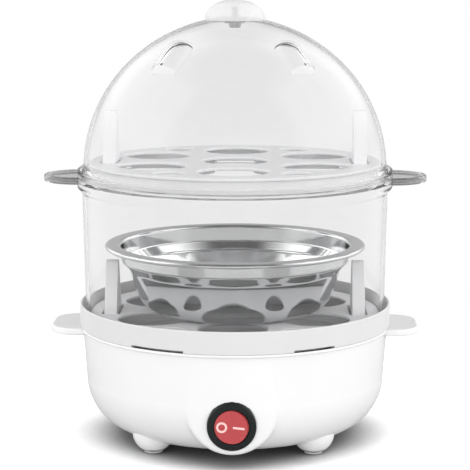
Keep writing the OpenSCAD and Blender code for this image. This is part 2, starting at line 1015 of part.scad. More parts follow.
module steam_bowl() {
    color(steel)
    union() {
        turned_sheet(steam_path(), steel_t);
        rotate_extrude()
            translate([steam_rim_r - steam_roll_r, steam_top - steam_roll_r])
                circle(r = steam_roll_r, $fn = 24);
    }
}

// ---------------------------------------------------------------- tier

module tier_ear() {
    cx = tier_rim_r - 1.3;
    border = 2.2;
    difference() {
        union() {
            translate([cx, 0, ear_z])
                turned(rounded([
                    [ear_r - border, 0, 0.9], [ear_r, 0, 0.9], [ear_r, ear_t, 0.9], [ear_r - border, ear_t, 0.9]
                ]));
            translate([cx, 0, ear_z + ear_t / 2 - 0.7])
                cylinder(r = ear_r - 1, h = 1.4);
        }
        translate([0, 0, ear_z - 1])
            cylinder(r = tier_rim_r - clear_t / 2, h = ear_t + 2);
    }
}

module clear_tier() {
    color(clear)
    union() {
        turned(rounded([
            [foot_out_r, tier_foot, 0.3], [neck_r, neck_z, 2], [tier_rim_r, flare_z, 1.2],
            [tier_rim_r, tier_rim, 0.4], [tier_rim_r - clear_t, tier_rim, 0.3],
            [tier_rim_r - clear_t, shelf_z, 0.4], [shelf_in_r, shelf_z, 0.3], [shelf_in_r, shelf_z - shelf_t, 0.3],
            [tier_rim_r - clear_t - 0.3, shelf_z - shelf_t, 0.4], [tier_rim_r - clear_t - 0.3, flare_z + 0.6, 0.8],
            [neck_r - clear_t, neck_z + 0.4, 1.6], [foot_in_r, tier_foot, 0.3]
        ]));
        for (a = [0, 180])
            rotate(a)
                tier_ear();
    }
}

// ---------------------------------------------------------------- lid

// The dome is a little fuller than an ellipse at its shoulder
function dome_path(inset, n) = [
    for (i = [0:n])
        let (a = 90 * i / n)
        [(dome_r - inset) * pow(cos(a), dome_side), dome_base + (dome_rise - inset) * pow(sin(a), dome_crown)]
];

module dome_form(inset) {
    turned(concat(dome_path(inset, 30), [[0, dome_base]]));
}

// Places its children on the dome at a vent, +Z out of it and +X down the slope
module at_vents() {
    r = dome_r * pow(cos(vent_lift), dome_side);
    z = dome_base + dome_rise * pow(sin(vent_lift), dome_crown);
    out = dome_r * dome_side * pow(cos(vent_lift), dome_side - 1) * sin(vent_lift);
    up = dome_rise * dome_crown * pow(sin(vent_lift), dome_crown - 1) * cos(vent_lift);
    for (s = [-1, 1])
        rotate(-90 + s * vent_angle)
            translate([r, 0, z])
                rotate([0, atan2(up, out), 0])
                    children();
}

// A hood: a ball at its upper end and a barrel down to its open mouth
module hood(r, length) {
    translate([-vent_len / 2, 0, vent_rise - vent_r])
        rotate([0, 90, 0]) {
            sphere(r = r, $fn = 48);
            cylinder(r = r, h = length, $fn = 48);
        }
}

module lid_dome() {
    color(clear)
    difference() {
        union() {
            dome_form(0);
            turned(rounded([
                [dome_r - 1, tier_rim], [tier_rim_r - 0.1, tier_rim, 0.3],
                [tier_rim_r - 0.1, tier_rim + 1.2, 0.6],
                [dome_r + 0.5, tier_rim + dome_foot_h, 1], [dome_r - 1, tier_rim + dome_foot_h + 0.5]
            ]));
            at_vents()
                hood(vent_r, vent_len);
        }
        dome_form(clear_t);
        translate([0, 0, dome_base - 20])
            cylinder(r = dome_r - clear_t, h = 20 + eps);
        translate([0, 0, dome_base - 20])
            cylinder(r = tier_rim_r + 5, h = 20 + tier_rim - dome_base);
        at_vents()
            hood(vent_r - vent_wall, vent_len + 3);
        translate([0, 0, dome_top - 8])
            cylinder(r = knob_hole_r, h = 20);
    }
    color(clear)
    translate([0, 0, shelf_z + slip])
        tube(lid_skirt_out, lid_skirt_in, tier_rim - shelf_z - slip);
}

module lid_knob() {
    top = dome_top + knob_h;
    base_angle = acos(pow(knob_r / dome_r, 1 / dome_side));
    base = dome_base + dome_rise * pow(sin(base_angle), dome_crown);
    color(white)
    difference() {
        turned(concat(
            [[0, base - 4], [knob_r, base - 4], [knob_r, base]],
            arc(0, base, knob_r, top - base, 8, 90, 16)
        ));
        translate([0, 0, -fit / 2])
            dome_form(-fit);
        translate([0, 0, dome_top])
            cylinder(r = screw_r + running, h = 6);
    }
}

module knob_washer() {
    color(tray_grey)
        translate([0, 0, dome_top - clear_t - 1.6])
            tube(5, screw_r + fit, 1.2);
}

module knob_screw() {
    color(steel)
        translate([0, 0, dome_top - clear_t - 1.6])
            screw(screw_r, 8, head_r, head_h);
}

// ---------------------------------------------------------------- assembly

base_bowl();
base_collar();
foot_pads();
housing_screws();
heating_plate();
plate_seal();
plate_clips();
clip_screws();
heater_block();
heater_clamp();
clamp_screws();
thermostat();
thermal_fuse();
terminal_block();
inner_wires();
wire_ends();
cord_gland();
cord_clamp();
cord_clamp_screws();
switch_bezel();
switch_terminals();
switch_rocker();
rocker_marks();
lower_tray();
steam_bowl();
clear_tier();
upper_tray();
lid_dome();
lid_knob();
knob_screw();
knob_washer();
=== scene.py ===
"""The looks of the two-storey egg cooker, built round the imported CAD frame.

The frame gives every piece its place. This script gives each surface its finish, replaces
the pieces that show by meshes with rounded edges and smooth skins, and sets up the studio.
Shapes are given in millimetres and made in metres; textures, floor, lamps and camera are in metres.
"""

import json
import math

import bmesh
import bpy
import numpy as np
from mathutils import Matrix, Vector


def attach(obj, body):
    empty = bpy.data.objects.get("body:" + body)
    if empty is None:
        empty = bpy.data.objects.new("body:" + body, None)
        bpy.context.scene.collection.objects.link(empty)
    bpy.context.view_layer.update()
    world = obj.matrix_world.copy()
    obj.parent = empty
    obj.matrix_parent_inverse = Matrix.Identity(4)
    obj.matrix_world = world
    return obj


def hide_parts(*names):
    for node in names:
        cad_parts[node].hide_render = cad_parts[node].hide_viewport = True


MM = 0.001
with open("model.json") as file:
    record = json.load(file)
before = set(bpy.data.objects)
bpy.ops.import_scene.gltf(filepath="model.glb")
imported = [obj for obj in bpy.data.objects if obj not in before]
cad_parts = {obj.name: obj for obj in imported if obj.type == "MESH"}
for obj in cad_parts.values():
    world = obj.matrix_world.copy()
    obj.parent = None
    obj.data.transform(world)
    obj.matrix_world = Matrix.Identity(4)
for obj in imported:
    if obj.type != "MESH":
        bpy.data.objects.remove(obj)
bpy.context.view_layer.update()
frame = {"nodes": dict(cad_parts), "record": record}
NODES = frame["nodes"]


# ------------------------------------------------------------------ shader nodes


class Graph:
    """A shader's node tree, with short helpers for the nodes that are used often."""

    def __init__(self, tree):
        self.tree = tree

    def put(self, value, socket):
        """Links another node's output to a socket, or sets the socket's own value."""
        if isinstance(value, bpy.types.NodeSocket):
            self.tree.links.new(value, socket)
        elif socket.type == "RGBA":
            socket.default_value = (*value, 1.0) if isinstance(value, tuple) else (value, value, value, 1.0)
        else:
            socket.default_value = value

    def node(self, kind, inputs=None, **fields):
        """A new node, with values for its fields, and values or outputs for its inputs."""
        made = self.tree.nodes.new("ShaderNode" + kind)
        for name, value in fields.items():
            setattr(made, name, value)
        for socket, value in (inputs or {}).items():
            self.put(value, made.inputs[socket])
        return made

    def math(self, operation, a, b=0.0):
        return self.node("Math", {0: a, 1: b}, operation=operation).outputs[0]

    def mapped(self, value, start, end, low=0.0, high=1.0, curve="LINEAR"):
        """The stretch from start to end mapped to low..high, and level beyond it."""
        ends = {"From Min": start, "From Max": end, "To Min": low, "To Max": high}
        return self.node("MapRange", {"Value": value, **ends}, interpolation_type=curve).outputs["Result"]

    def mix(self, share, first, second):
        """Two shaders mixed; share is that of the second."""
        return self.node("MixShader", {0: share, 1: first, 2: second}).outputs[0]

    def openness(self, reach, samples):
        """How free of neighbours within reach, in metres, a place is."""
        return self.node("AmbientOcclusion", {"Distance": reach}, samples=samples).outputs["AO"]


# ------------------------------------------------------------------ materials

# Painted shade: how far colours are darkened in narrow gaps, where shade falls.
GAP_SHADE_TONES = [(0.0, 0.01), (0.25, 0.12), (0.42, 1.0)]  # (openness of a place, share of its colour)


class Surface(Graph):
    """A material with one Principled shader, and what feeds it."""

    def __init__(self, name, **sockets):
        self.material = bpy.data.materials.new(name)
        self.material.use_nodes = True
        super().__init__(self.material.node_tree)
        self.shader = self.tree.nodes["Principled BSDF"]
        self.output = self.tree.nodes["Material Output"]
        for socket, value in sockets.items():
            self.set(socket.replace("_", " "), value)

    def set(self, socket, value):
        self.put(value, self.shader.inputs[socket])

    def noise(self, size, detail=3.0, stretch=None):
        """Noise whose blobs are about size metres across, finer along the axes with a larger stretch."""
        where = self.node("TexCoord").outputs["Object"]
        if stretch:
            where = self.node("Mapping", {"Vector": where, "Scale": stretch}).outputs["Vector"]
        return self.node("TexNoise", {"Vector": where, "Scale": 1.0 / size, "Detail": detail}).outputs["Fac"]

    def ramp(self, source, stops):
        """Colour or grey picked from (position, tone) stops."""
        picked = self.node("ValToRGB", {"Fac": source})
        elements = picked.color_ramp.elements
        while len(elements) < len(stops):
            elements.new(0.5)
        for element, (position, tone) in zip(elements, stops):
            element.position = position
            element.color = (*tone, 1.0) if isinstance(tone, tuple) else (tone, tone, tone, 1.0)
        return picked.outputs["Color"]

    def spread(self, source, low, high):
        """The middle range of a noise mapped to low..high."""
        return self.mapped(source, 0.3, 0.7, low, high)

    def tint(self, source, dark, light):
        """A colour between dark and light by the middle range of a noise."""
        return self.ramp(source, [(0.35, dark), (0.65, light)])

    def bump(self, source, height, under=None):
        """A bump of that height in metres; under is a coarser bump that it rides on."""
        coarser = {} if under is None else {"Normal": under}
        return self.node("Bump", {"Height": source, "Distance": height, **coarser}).outputs["Normal"]

    def shaded_in_gaps(self, colour, reach):
        """The colour painted almost black, as shade, in gaps that are narrower than the reach in metres."""
        shade = self.ramp(self.openness(reach, 8), GAP_SHADE_TONES)
        product = {"Factor": 1.0, "A": colour, "B": shade}
        return self.node("Mix", product, data_type="RGBA", blend_type="MULTIPLY").outputs["Result"]

    def open_to_light(self, share, bounced=False):
        """Lets that share of lamp and sky light straight through, and of bounced light where asked."""
        path = self.node("LightPath").outputs
        rays = path["Is Shadow Ray"]
        if bounced:
            rays = self.math("MAXIMUM", rays, path["Is Diffuse Ray"])
        through = self.node("BsdfTransparent", {"Color": share}).outputs[0]
        self.put(self.mix(rays, self.shader.outputs["BSDF"], through), self.output.inputs["Surface"])


def moulded(name, colour, roughness, grain=0.0006, grain_height=0.000004, waviness=0.00002,
            shade=0.985, gap_shade_reach=0.0, milky=0.0, **more):
    """Injection-moulded plastic: slight flow marks, fine spark-eroded grain, uneven gloss, and with a reach
    painted shade in narrow gaps.
    """
    s = Surface(name, **more)
    flow = s.noise(0.028, detail=2.0, stretch=(1.0, 1.0, 0.6))
    fine = s.noise(grain, detail=2.0)
    darker = tuple(c * shade for c in colour)
    skin = s.tint(flow, darker, colour)
    # Painted shade: the skin is darkened in narrow gaps and slots, where shade falls.
    s.set("Base Color", s.shaded_in_gaps(skin, gap_shade_reach) if gap_shade_reach else skin)
    s.set("Roughness", s.spread(s.noise(0.009, detail=4.0), roughness * 0.88, roughness * 1.12))
    s.set("Normal", s.bump(fine, grain_height, under=s.bump(flow, waviness)))
    if milky:
        s.open_to_light(milky)
    return s.material


def metal(name, colour, roughness, brush=None, scuff=0.00001, metallic=1.0):
    """Metal sheet or bar: fine working lines along one axis and faint smudges."""
    s = Surface(name, Metallic=metallic)
    lines = s.noise(0.0007, detail=3.0, stretch=brush)
    smudge = s.noise(0.014, detail=4.0)
    s.set("Base Color", s.tint(smudge, tuple(c * 0.94 for c in colour), colour))
    s.set("Roughness", s.spread(smudge, roughness * 0.8, roughness * 1.3))
    s.set("Normal", s.bump(lines, scuff))
    return s.material


def rubber(name, colour, roughness=0.62):
    """Rubber, silicone or woven sleeve: dull, with a coarse speck."""
    s = Surface(name, Specular_IOR_Level=0.35)
    speck = s.noise(0.0009, detail=5.0)
    s.set("Base Color", s.tint(s.noise(0.006, detail=3.0), tuple(c * 0.9 for c in colour), colour))
    s.set("Roughness", s.spread(speck, roughness * 0.9, min(1.0, roughness * 1.15)))
    s.set("Normal", s.bump(speck, 0.00003))
    return s.material


def clear_plastic(name, tones, ior=1.06):
    """Clear polystyrene in thin walls: a coat that mirrors over tones that follow the wall's turn."""
    s = Surface(name, Transmission_Weight=1.0, IOR=ior, Coat_Weight=0.35, Coat_IOR=1.5, Coat_Roughness=0.03)
    turned_away = s.node("LayerWeight", {"Blend": 0.5}).outputs["Facing"]
    s.set("Base Color", s.ramp(turned_away, tones))
    s.set("Roughness", s.spread(s.noise(0.02, detail=3.0), 0.010, 0.028))
    s.set("Normal", s.bump(s.noise(0.016, detail=1.0), 0.000008))
    s.open_to_light(0.93, bounced=True)
    return s.material


# (how far a face turns from the eye, share of light that it lets through)
WALL_TONES = [(0.0, 0.912), (0.45, 0.918), (0.70, 0.955), (0.84, 0.95), (0.93, 0.84), (1.0, 0.60)]
EAR_TONES = [(0.0, 0.34), (0.6, 0.50), (0.86, 0.78), (1.0, 0.70)]

MATERIALS = {
    # White and collar plastic get painted shade in their narrow gaps; the collar's short reach blackens its
    # slots.
    "white_plastic": moulded(
        "white_plastic_look", (0.84, 0.84, 0.84), 0.24, gap_shade_reach=0.004,
        Coat_Weight=0.25, Coat_Roughness=0.08),
    "collar_plastic": moulded("collar_plastic_look", (0.68, 0.68, 0.68), 0.34, gap_shade_reach=0.0015),
    "tray_plastic": moulded("tray_plastic_look", (0.85, 0.85, 0.86), 0.42, grain_height=0.00001, milky=0.5),
    "knob_plastic": moulded("knob_plastic_look", (0.80, 0.80, 0.805), 0.30, Alpha=0.6),
    "clear_plastic": clear_plastic("clear_plastic_look", WALL_TONES),
    "polished_steel": metal("polished_steel_look", (0.78, 0.785, 0.79), 0.07, scuff=0.000002),
    "plate_steel": metal("plate_steel_look", (0.90, 0.90, 0.91), 0.35, scuff=0.000004, metallic=0.5),
    "foot_rubber": rubber("foot_rubber_look", (0.62, 0.62, 0.62)),
    "seal_rubber": rubber("seal_rubber_look", (0.50, 0.42, 0.40)),
    "screw_steel": metal("screw_steel_look", (0.55, 0.55, 0.56), 0.32),
    "spring_steel": metal("spring_steel_look", (0.52, 0.52, 0.53), 0.30, brush=(1.0, 12.0, 1.0)),
    "heater_aluminium": metal("heater_aluminium_look", (0.66, 0.67, 0.68), 0.38, brush=(1.0, 14.0, 14.0)),
    "dark_plastic": moulded("dark_plastic_look", (0.02, 0.02, 0.02), 0.5, shade=0.8),
    "fuse_sleeve": rubber("fuse_sleeve_look", (0.62, 0.58, 0.45), 0.8),
    "block_plastic": moulded("block_plastic_look", (0.70, 0.68, 0.60), 0.45),
    "wire_skin": rubber("wire_skin_look", (0.30, 0.03, 0.02), 0.45),
    "receptacle_plastic": moulded("receptacle_plastic_look", (0.70, 0.70, 0.66), 0.3),
    "gland_plastic": moulded("gland_plastic_look", (0.03, 0.03, 0.03), 0.5, shade=0.85),
    "clamp_plastic": moulded("clamp_plastic_look", (0.60, 0.60, 0.60), 0.45),
    "bezel_plastic": moulded(
        "bezel_plastic_look", (0.010, 0.013, 0.013), 0.30, shade=0.8, Specular_IOR_Level=0.3),
    "terminal_brass": metal("terminal_brass_look", (0.70, 0.50, 0.18), 0.3),
    "rocker_plastic": moulded("rocker_plastic_look", (0.50, 0.065, 0.07), 0.28, shade=0.93),
    "mark_ink": moulded("mark_ink_look", (0.95, 0.62, 0.60), 0.4),
}

for row in frame["record"]["subparts"]:
    NODES[row["node"]].data.materials.clear()
    NODES[row["node"]].data.materials.append(MATERIALS[row["material_slot"]])


# ------------------------------------------------------------------ shapes

SIDES = 288  # of the large round pieces


def stepped(first, last, steps):
    """Evenly spaced values from first to last, both included."""
    return [first + (last - first) * k / steps for k in range(steps + 1)]


def shift(x, y, z):
    """A move by millimetres."""
    return Matrix.Translation((x * MM, y * MM, z * MM))


def spin(angle, axis="Z"):
    """A turn in radians about an axis of the frame."""
    return Matrix.Rotation(angle, 4, axis)


def linked(name, data):
    """A new object of the scene that shows the data."""
    made = bpy.data.objects.new(name, data)
    bpy.context.scene.collection.objects.link(made)
    return made


def outcome(holder):
    """What a scratch object's curve or modifiers make, as a bmesh."""
    seen = holder.evaluated_get(bpy.context.evaluated_depsgraph_get())
    mesh = bpy.data.meshes.new_from_object(seen)
    bm = bmesh.new()
    bm.from_mesh(mesh)
    bpy.data.meshes.remove(mesh)
    return bm


def corner_arc(outline, i, step=math.radians(4)):
    """The points that round corner i of an outline to its radius, the corner's third number."""
    here = Vector(outline[i][:2])
    to_back = (Vector(outline[i - 1][:2]) - here).normalized()
    to_next = (Vector(outline[(i + 1) % len(outline)][:2]) - here).normalized()
    radius = outline[i][2]
    half = to_back.angle(to_next) / 2
    centre = here + (to_back + to_next).normalized() * radius / math.sin(half)
    start = here + to_back * radius / math.tan(half) - centre
    end = here + to_next * radius / math.tan(half) - centre
    turn = math.atan2(start.x * end.y - start.y * end.x, start.dot(end))
    first = math.atan2(start.y, start.x)
    steps = max(2, math.ceil(abs(turn) / step))
    angles = [first + turn * k / steps for k in range(steps + 1)]
    return [(centre.x + radius * math.cos(a), centre.y + radius * math.sin(a)) for a in angles]


def rounded(outline):
    """An outline of points (x, y), or (x, y, r) where the corner is rounded to r."""
    points = []
    for i, point in enumerate(outline):
        points += [point] if len(point) == 2 else corner_arc(outline, i)
    return points


def circle(x, y, r, sides=96):
    turns = [2 * math.pi * k / sides for k in range(sides)]
    return [(x + r * math.cos(a), y + r * math.sin(a)) for a in turns]


def rectangle(x, y, width, depth):
    """The corners of a rectangle round (x, y), counter-clockwise."""
    corners = [(-1, -1), (1, -1), (1, 1), (-1, 1)]
    return [(x + i * width / 2, y + j * depth / 2) for i, j in corners]


def turned(outline, sides=240):
    """A closed outline of (radius, height) in millimetres, turned round the axis, as a bmesh."""
    bm = bmesh.new()
    rings = []
    for r, z in outline:
        if r < 1e-6:
            rings.append([bm.verts.new((0, 0, z * MM))] * sides)
        else:
            rings.append([bm.verts.new((x * MM, y * MM, z * MM)) for x, y in circle(0, 0, r, sides)])
    for ring, following in zip(rings, rings[1:] + rings[:1]):
        for k in range(sides):
            n = (k + 1) % sides
            face = list(dict.fromkeys((ring[k], ring[n], following[n], following[k])))
            if len(face) > 2:
                bm.faces.new(face)
    return bm


def inset(outline, by):
    """A counter-clockwise outline moved inwards, with mitred corners."""
    moved = []
    for i, point in enumerate(outline):
        here = Vector(point)
        back = (here - Vector(outline[i - 1])).normalized()
        ahead = (Vector(outline[(i + 1) % len(outline)]) - here).normalized()
        left = (Vector((-back.y, back.x)) + Vector((-ahead.y, ahead.x))).normalized()
        moved.append(here + left * by / max(0.2, left.dot(Vector((-back.y, back.x)))))
    return [tuple(p) for p in moved]


def plate(outer, holes, low, high, edge):
    """A plate between two heights with holes and rounded edges, as a bmesh.

    The outer outline and those of the holes run counter-clockwise.
    """
    curve = bpy.data.curves.new("plate", "CURVE")
    curve.dimensions = "2D"
    curve.fill_mode = "BOTH"
    curve.bevel_depth = edge * MM
    curve.bevel_resolution = 3
    curve.extrude = ((high - low) / 2 - edge) * MM
    for outline in [inset(outer, edge)] + [inset(hole, -edge) for hole in holes]:
        spline = curve.splines.new("POLY")
        spline.points.add(len(outline) - 1)
        for point, (x, y) in zip(spline.points, outline):
            point.co = (x * MM, y * MM, 0.0, 1.0)
        spline.use_cyclic_u = True
    holder = linked("plate", curve)
    bm = outcome(holder)
    bmesh.ops.translate(bm, verts=bm.verts, vec=(0, 0, (low + high) / 2 * MM))
    bmesh.ops.remove_doubles(bm, verts=bm.verts, dist=1e-7)
    bpy.data.objects.remove(holder)
    bpy.data.curves.remove(curve)
    return bm


def placed(bm, matrix):
    """The bmesh itself, moved by the matrix."""
    bmesh.ops.transform(bm, matrix=matrix, verts=bm.verts)
    return bm


def merged(parts):
    """Several closed shells as one bmesh; they are used up."""
    whole = bmesh.new()
    for part in parts:
        mesh = bpy.data.meshes.new("part")
        bmesh.ops.recalc_face_normals(part, faces=part.faces)
        part.to_mesh(mesh)
        part.free()
        whole.from_mesh(mesh)
        bpy.data.meshes.remove(mesh)
    return whole


def held(bm):
    """A scratch object that holds a bmesh, which it uses up."""
    mesh = bpy.data.meshes.new("scratch")
    bmesh.ops.recalc_face_normals(bm, faces=bm.faces)
    bm.to_mesh(mesh)
    bm.free()
    return linked("scratch", mesh)


def combined(first, second, operation):
    """UNION or DIFFERENCE of two closed bmeshes, which are used up."""
    base, tool = held(first), held(second)
    step = base.modifiers.new("combined", "BOOLEAN")
    step.operation = operation
    step.solver = "EXACT"
    step.object = tool
    bm = outcome(base)
    for holder in (base, tool):
        used = holder.data
        bpy.data.objects.remove(holder)
        bpy.data.meshes.remove(used)
    return bm


def block(matrix):
    """A cube of one metre a side, moved, turned and stretched by the matrix."""
    bm = bmesh.new()
    bmesh.ops.create_cube(bm, size=1.0, matrix=matrix)
    return bm


def bent_block(first, last, r_in, r_out, low, high, steps=24):
    """A block bent round the axis between two angles in degrees, counted from the front."""
    bm = bmesh.new()
    rings = []
    for k in range(steps + 1):
        a = math.radians(first + (last - first) * k / steps - 90)
        section = ((r_in, low), (r_out, low), (r_out, high), (r_in, high))
        rings.append([bm.verts.new((r * math.cos(a) * MM, r * math.sin(a) * MM, z * MM)) for r, z in section])
    for ring, following in zip(rings, rings[1:]):
        for k in range(4):
            n = (k + 1) % 4
            bm.faces.new((ring[k], ring[n], following[n], following[k]))
    bm.faces.new(rings[0])
    bm.faces.new(rings[-1])
    return bm


def sheet(path, thickness):
    """The closed outline of a sheet of even thickness along an open path."""
    sides = [], []
    for i, here in enumerate(path):
        along = (Vector(path[min(len(path) - 1, i + 1)]) - Vector(path[max(0, i - 1)])).normalized()
        off = Vector((-along.y, along.x)) * thickness / 2
        sides[0].append(tuple(Vector(here) - off))
        sides[1].append(tuple(Vector(here) + off))
    return sides[0] + sides[1][::-1]


def piece(name, parts, body, node, slot, crease=50, look=None):
    """Joins closed shells into one piece that rides a body and stands for a CAD node.

    Edges that turn by more than the crease, in degrees, stay sharp.
    """
    whole = merged(parts)
    mesh = bpy.data.meshes.new(name)
    whole.to_mesh(mesh)
    whole.free()
    mesh.shade_smooth()
    mesh.set_sharp_from_angle(angle=math.radians(crease))
    made = linked(name, mesh)
    even = made.modifiers.new("flat_faces_stay_flat", "WEIGHTED_NORMAL")
    even.weight = 60
    even.keep_sharp = True
    return dressed(made, body, node, slot, look)


def dressed(made, body, node, slot, look=None):
    """Gives an object the material of its slot, or the look given, rides it on the body, and hides the CAD
    node.
    """
    made.data.materials.append(look or MATERIALS[slot])
    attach(made, body)
    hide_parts(node)
    return made


# ------------------------------------------------------------------ housing
# The sizes are those that part.scad gives the bowl and its pod.

CLEARANCE = 0.3  # between pieces that come apart
COLLAR_R = 77.0
SEAM_Z = 56.1
BOWL_CLEAR = 5.1
BOWL_FLAT_R = 50.5
BOWL_CORNER_H = 25.8
BOWL_TOP_R = COLLAR_R - 1.1
BOWL_MID_R = BOWL_TOP_R - 1.7
BOWL_MID_Z = BOWL_CLEAR + BOWL_CORNER_H
WALL_SLOPE = (BOWL_TOP_R - BOWL_MID_R) / (SEAM_Z - BOWL_MID_Z)
SHELL_T = 2.2
POD_R = 22.4
POD_Z = 30.0
POD_TAPER = math.radians(10)
POD_DRAFT = math.tan(math.radians(2.5))
POD_FACE_R = BOWL_MID_R + 0.1
POD_EDGE = 2.4
POD_FILLET = 1.0
POD_FILLET_END = 38.0  # the fillet beside the pod has faded away up here
POD_FILLET_FADE = 10.0  # and starts to fade this far below
SWITCH_Z = 21.7
SEAT_R = 11.8
SEAT_DEPTH = 0.9
SEAT_FLOOR_EDGE = 0.1
SEAT_EDGE = 0.2
GLAND_Z = 24.0
GLAND_PAD_R = 9.5
GLAND_PAD_Y = BOWL_MID_R + 0.8
GLAND_PAD_EDGE = 0.8
GRIP_REACH = 13.9
GRIP_LEN = 38.9
GRIP_T = 3.5
GRIP_EDGE = 1.1
GRIP_CORNER = 12.0
GRIP_ROOT = 6.0  # how far the grips reach into the wall
BEAD_R = 0.75
BEAD_PROUD = 0.2
FOOT_R = 10.2
FOOT_RING = 54.6
FOOT_Z = FOOT_R - 0.4
FOOT_TOP_TURN = math.radians(135)  # the ball ends here, inside the bowl
PAD_H = 0.8
BOWL_RIM_T = 0.8
BOWL_RIM_H = 4.0
EYE_Z = 40.0  # the skin is found along rays from this point of the axis
RAY_START = 20.0
RAY_END = 110.0
FAR = 50.0  # stands for the distance to what is on the other side of the housing


def rounded_both(a, b, r):
    """Distance to what lies in both shapes, the edge between them rounded to r."""
    return np.minimum(np.maximum(a, b) + r, 0) + np.hypot(np.maximum(a + r, 0), np.maximum(b + r, 0)) - r


def filleted_either(a, b, r):
    """Distance to what lies in either shape, the crease between them filled to r."""
    return np.maximum(r, np.minimum(a, b)) - np.hypot(np.maximum(r - a, 0), np.maximum(r - b, 0))


def bowl_distance(rho, z):
    """Distance to the plain bowl, a solid of revolution."""
    out, down = np.maximum(rho - BOWL_FLAT_R, 0), np.maximum(BOWL_MID_Z - z, 0)
    rx, rz = BOWL_MID_R - BOWL_FLAT_R, BOWL_CORNER_H
    near = np.hypot(out / rx, down / rz)
    corner = near * (near - 1) / np.maximum(np.hypot(out / rx**2, down / rz**2), 1e-9)
    wall = rho - (BOWL_MID_R + (z - BOWL_MID_Z) * WALL_SLOPE)
    return np.where(z > BOWL_MID_Z, wall, corner)


def pod_distance(x, z, rho):
    """Distance to the pod round the switch: round below, tapering above, its face following the wall."""
    across, up = np.abs(x), z - POD_Z
    side = across * math.cos(POD_TAPER) + up * math.sin(POD_TAPER) - POD_R
    outline = np.where(np.arctan2(up, across) > POD_TAPER, side, np.hypot(across, up) - POD_R)
    face = rho - (POD_FACE_R + (z - SWITCH_Z) * POD_DRAFT)
    return rounded_both(outline, face, POD_EDGE)


def housing_distance(p):
    """Distance to the bowl with its pod at the front and the inlet's pad at the back."""
    x, y, z = p[..., 0], p[..., 1], p[..., 2]
    rho = np.hypot(x, y)
    fillet = POD_FILLET * np.clip((POD_FILLET_END - z) / POD_FILLET_FADE, 0, 1)
    pod = np.where(y < 0, pod_distance(x, z, rho), FAR)
    whole = filleted_either(bowl_distance(rho, z), pod, fillet)
    seat = rounded_both(
        np.hypot(x, z - SWITCH_Z) - SEAT_R, y + (POD_FACE_R - SEAT_DEPTH), SEAT_FLOOR_EDGE)
    whole = rounded_both(whole, -seat, SEAT_EDGE)
    pad = rounded_both(np.hypot(x, z - GLAND_Z) - GLAND_PAD_R, y - GLAND_PAD_Y, GLAND_PAD_EDGE)
    return filleted_either(whole, np.where(y > 0, pad, FAR), GLAND_PAD_EDGE)


def spaced(*stretches):
    """Angles in radians from stretches of (first, last, step) in degrees, each without its last."""
    parts = [np.arange(a, b - step / 2, step) for a, b, step in stretches]
    return np.radians(np.concatenate(parts + [[stretches[-1][1]]]))


def skin_points(turns, tilts, level):
    """Points at that distance from the housing's surface, along rays of given turn and tilt."""
    turn, tilt = np.meshgrid(turns, tilts)
    rays = np.stack([np.sin(turn) * np.cos(tilt), -np.cos(turn) * np.cos(tilt), np.sin(tilt)], -1)
    eye = np.array([0, 0, EYE_Z])
    near, far = np.full(turn.shape, RAY_START), np.full(turn.shape, RAY_END)
    for _ in range(36):  # halvings
        middle = (near + far) / 2
        inside = housing_distance(eye + rays * middle[..., None]) < level
        near, far = np.where(inside, middle, near), np.where(inside, far, middle)
    return eye + rays * near[..., None]


def slopes(points):
    """Unit normals of the housing's surface at those points."""
    h = 0.02
    sides = [housing_distance(points + h * axis) - housing_distance(points - h * axis) for axis in np.eye(3)]
    normals = np.stack(sides, -1)
    return normals / np.linalg.norm(normals, axis=-1, keepdims=True)


def ring_faces(rows, columns):
    """Faces between closed rings of points, and fans from the end rings to two poles that come after."""
    count, last = rows * columns, (rows - 1) * columns
    faces = []
    for row in range(rows - 1):
        a, b = row * columns, (row + 1) * columns
        for k in range(columns):
            n = (k + 1) % columns
            faces.append((a + k, a + n, b + n, b + k))
    for k in range(columns):
        n = (k + 1) % columns
        faces.append((count, n, k))
        faces.append((count + 1, last + k, last + n))
    return faces


def make_housing_bowl():
    """The moulded bowl as a closed hollow shell with its exact surface normals."""
    turns = spaced((-180, -171, 0.5), (-171, -25, 2), (-25, 25, 0.4), (25, 171, 2), (171, 180, 0.5))[:-1]
    seam_tilt = math.degrees(math.atan2(SEAM_Z - EYE_Z, BOWL_TOP_R))
    outer_tilts = spaced((-86, -36, 5), (-36, -31, 0.5), (-31, -21, 0.2), (-21, seam_tilt, 0.4))
    outer = skin_points(turns, outer_tilts, 0)
    inner = skin_points(turns, spaced((-84, -36, 6), (-36, 8, 2)), -SHELL_T)[::-1]
    rim = outer[-1] * np.array([1 - BOWL_RIM_T / BOWL_TOP_R] * 2 + [1])
    drop = rim - np.array([0, 0, BOWL_RIM_H])
    rows = np.concatenate([outer, rim[None], drop[None], inner])
    normals = slopes(rows)
    normals[len(outer) + 2:] *= -1
    points = [tuple(p) for p in rows.reshape(-1, 3) * MM]
    points += [(0, 0, BOWL_CLEAR * MM), (0, 0, (BOWL_CLEAR + SHELL_T) * MM)]
    mesh = bpy.data.meshes.new("housing_bowl")
    mesh.from_pydata(points, [], ring_faces(rows.shape[0], len(turns)))
    mesh.shade_smooth()
    directions = [tuple(n) for n in normals.reshape(-1, 3)] + [(0, 0, -1), (0, 0, 1)]
    mesh.normals_split_custom_set_from_vertices(directions)
    dressed(linked("housing_bowl", mesh), "base", "base_bowl", "white_plastic")


def grip(turn):
    """A side grip: a tongue with round corners and edges."""
    tip, half, start = COLLAR_R + GRIP_REACH, GRIP_LEN / 2, COLLAR_R - GRIP_ROOT
    outline = rounded([(start, -half), (tip, -half, GRIP_CORNER), (tip, half, GRIP_CORNER), (start, half)])
    return placed(plate(outline, [], SEAM_Z - GRIP_T, SEAM_Z, GRIP_EDGE), spin(turn))


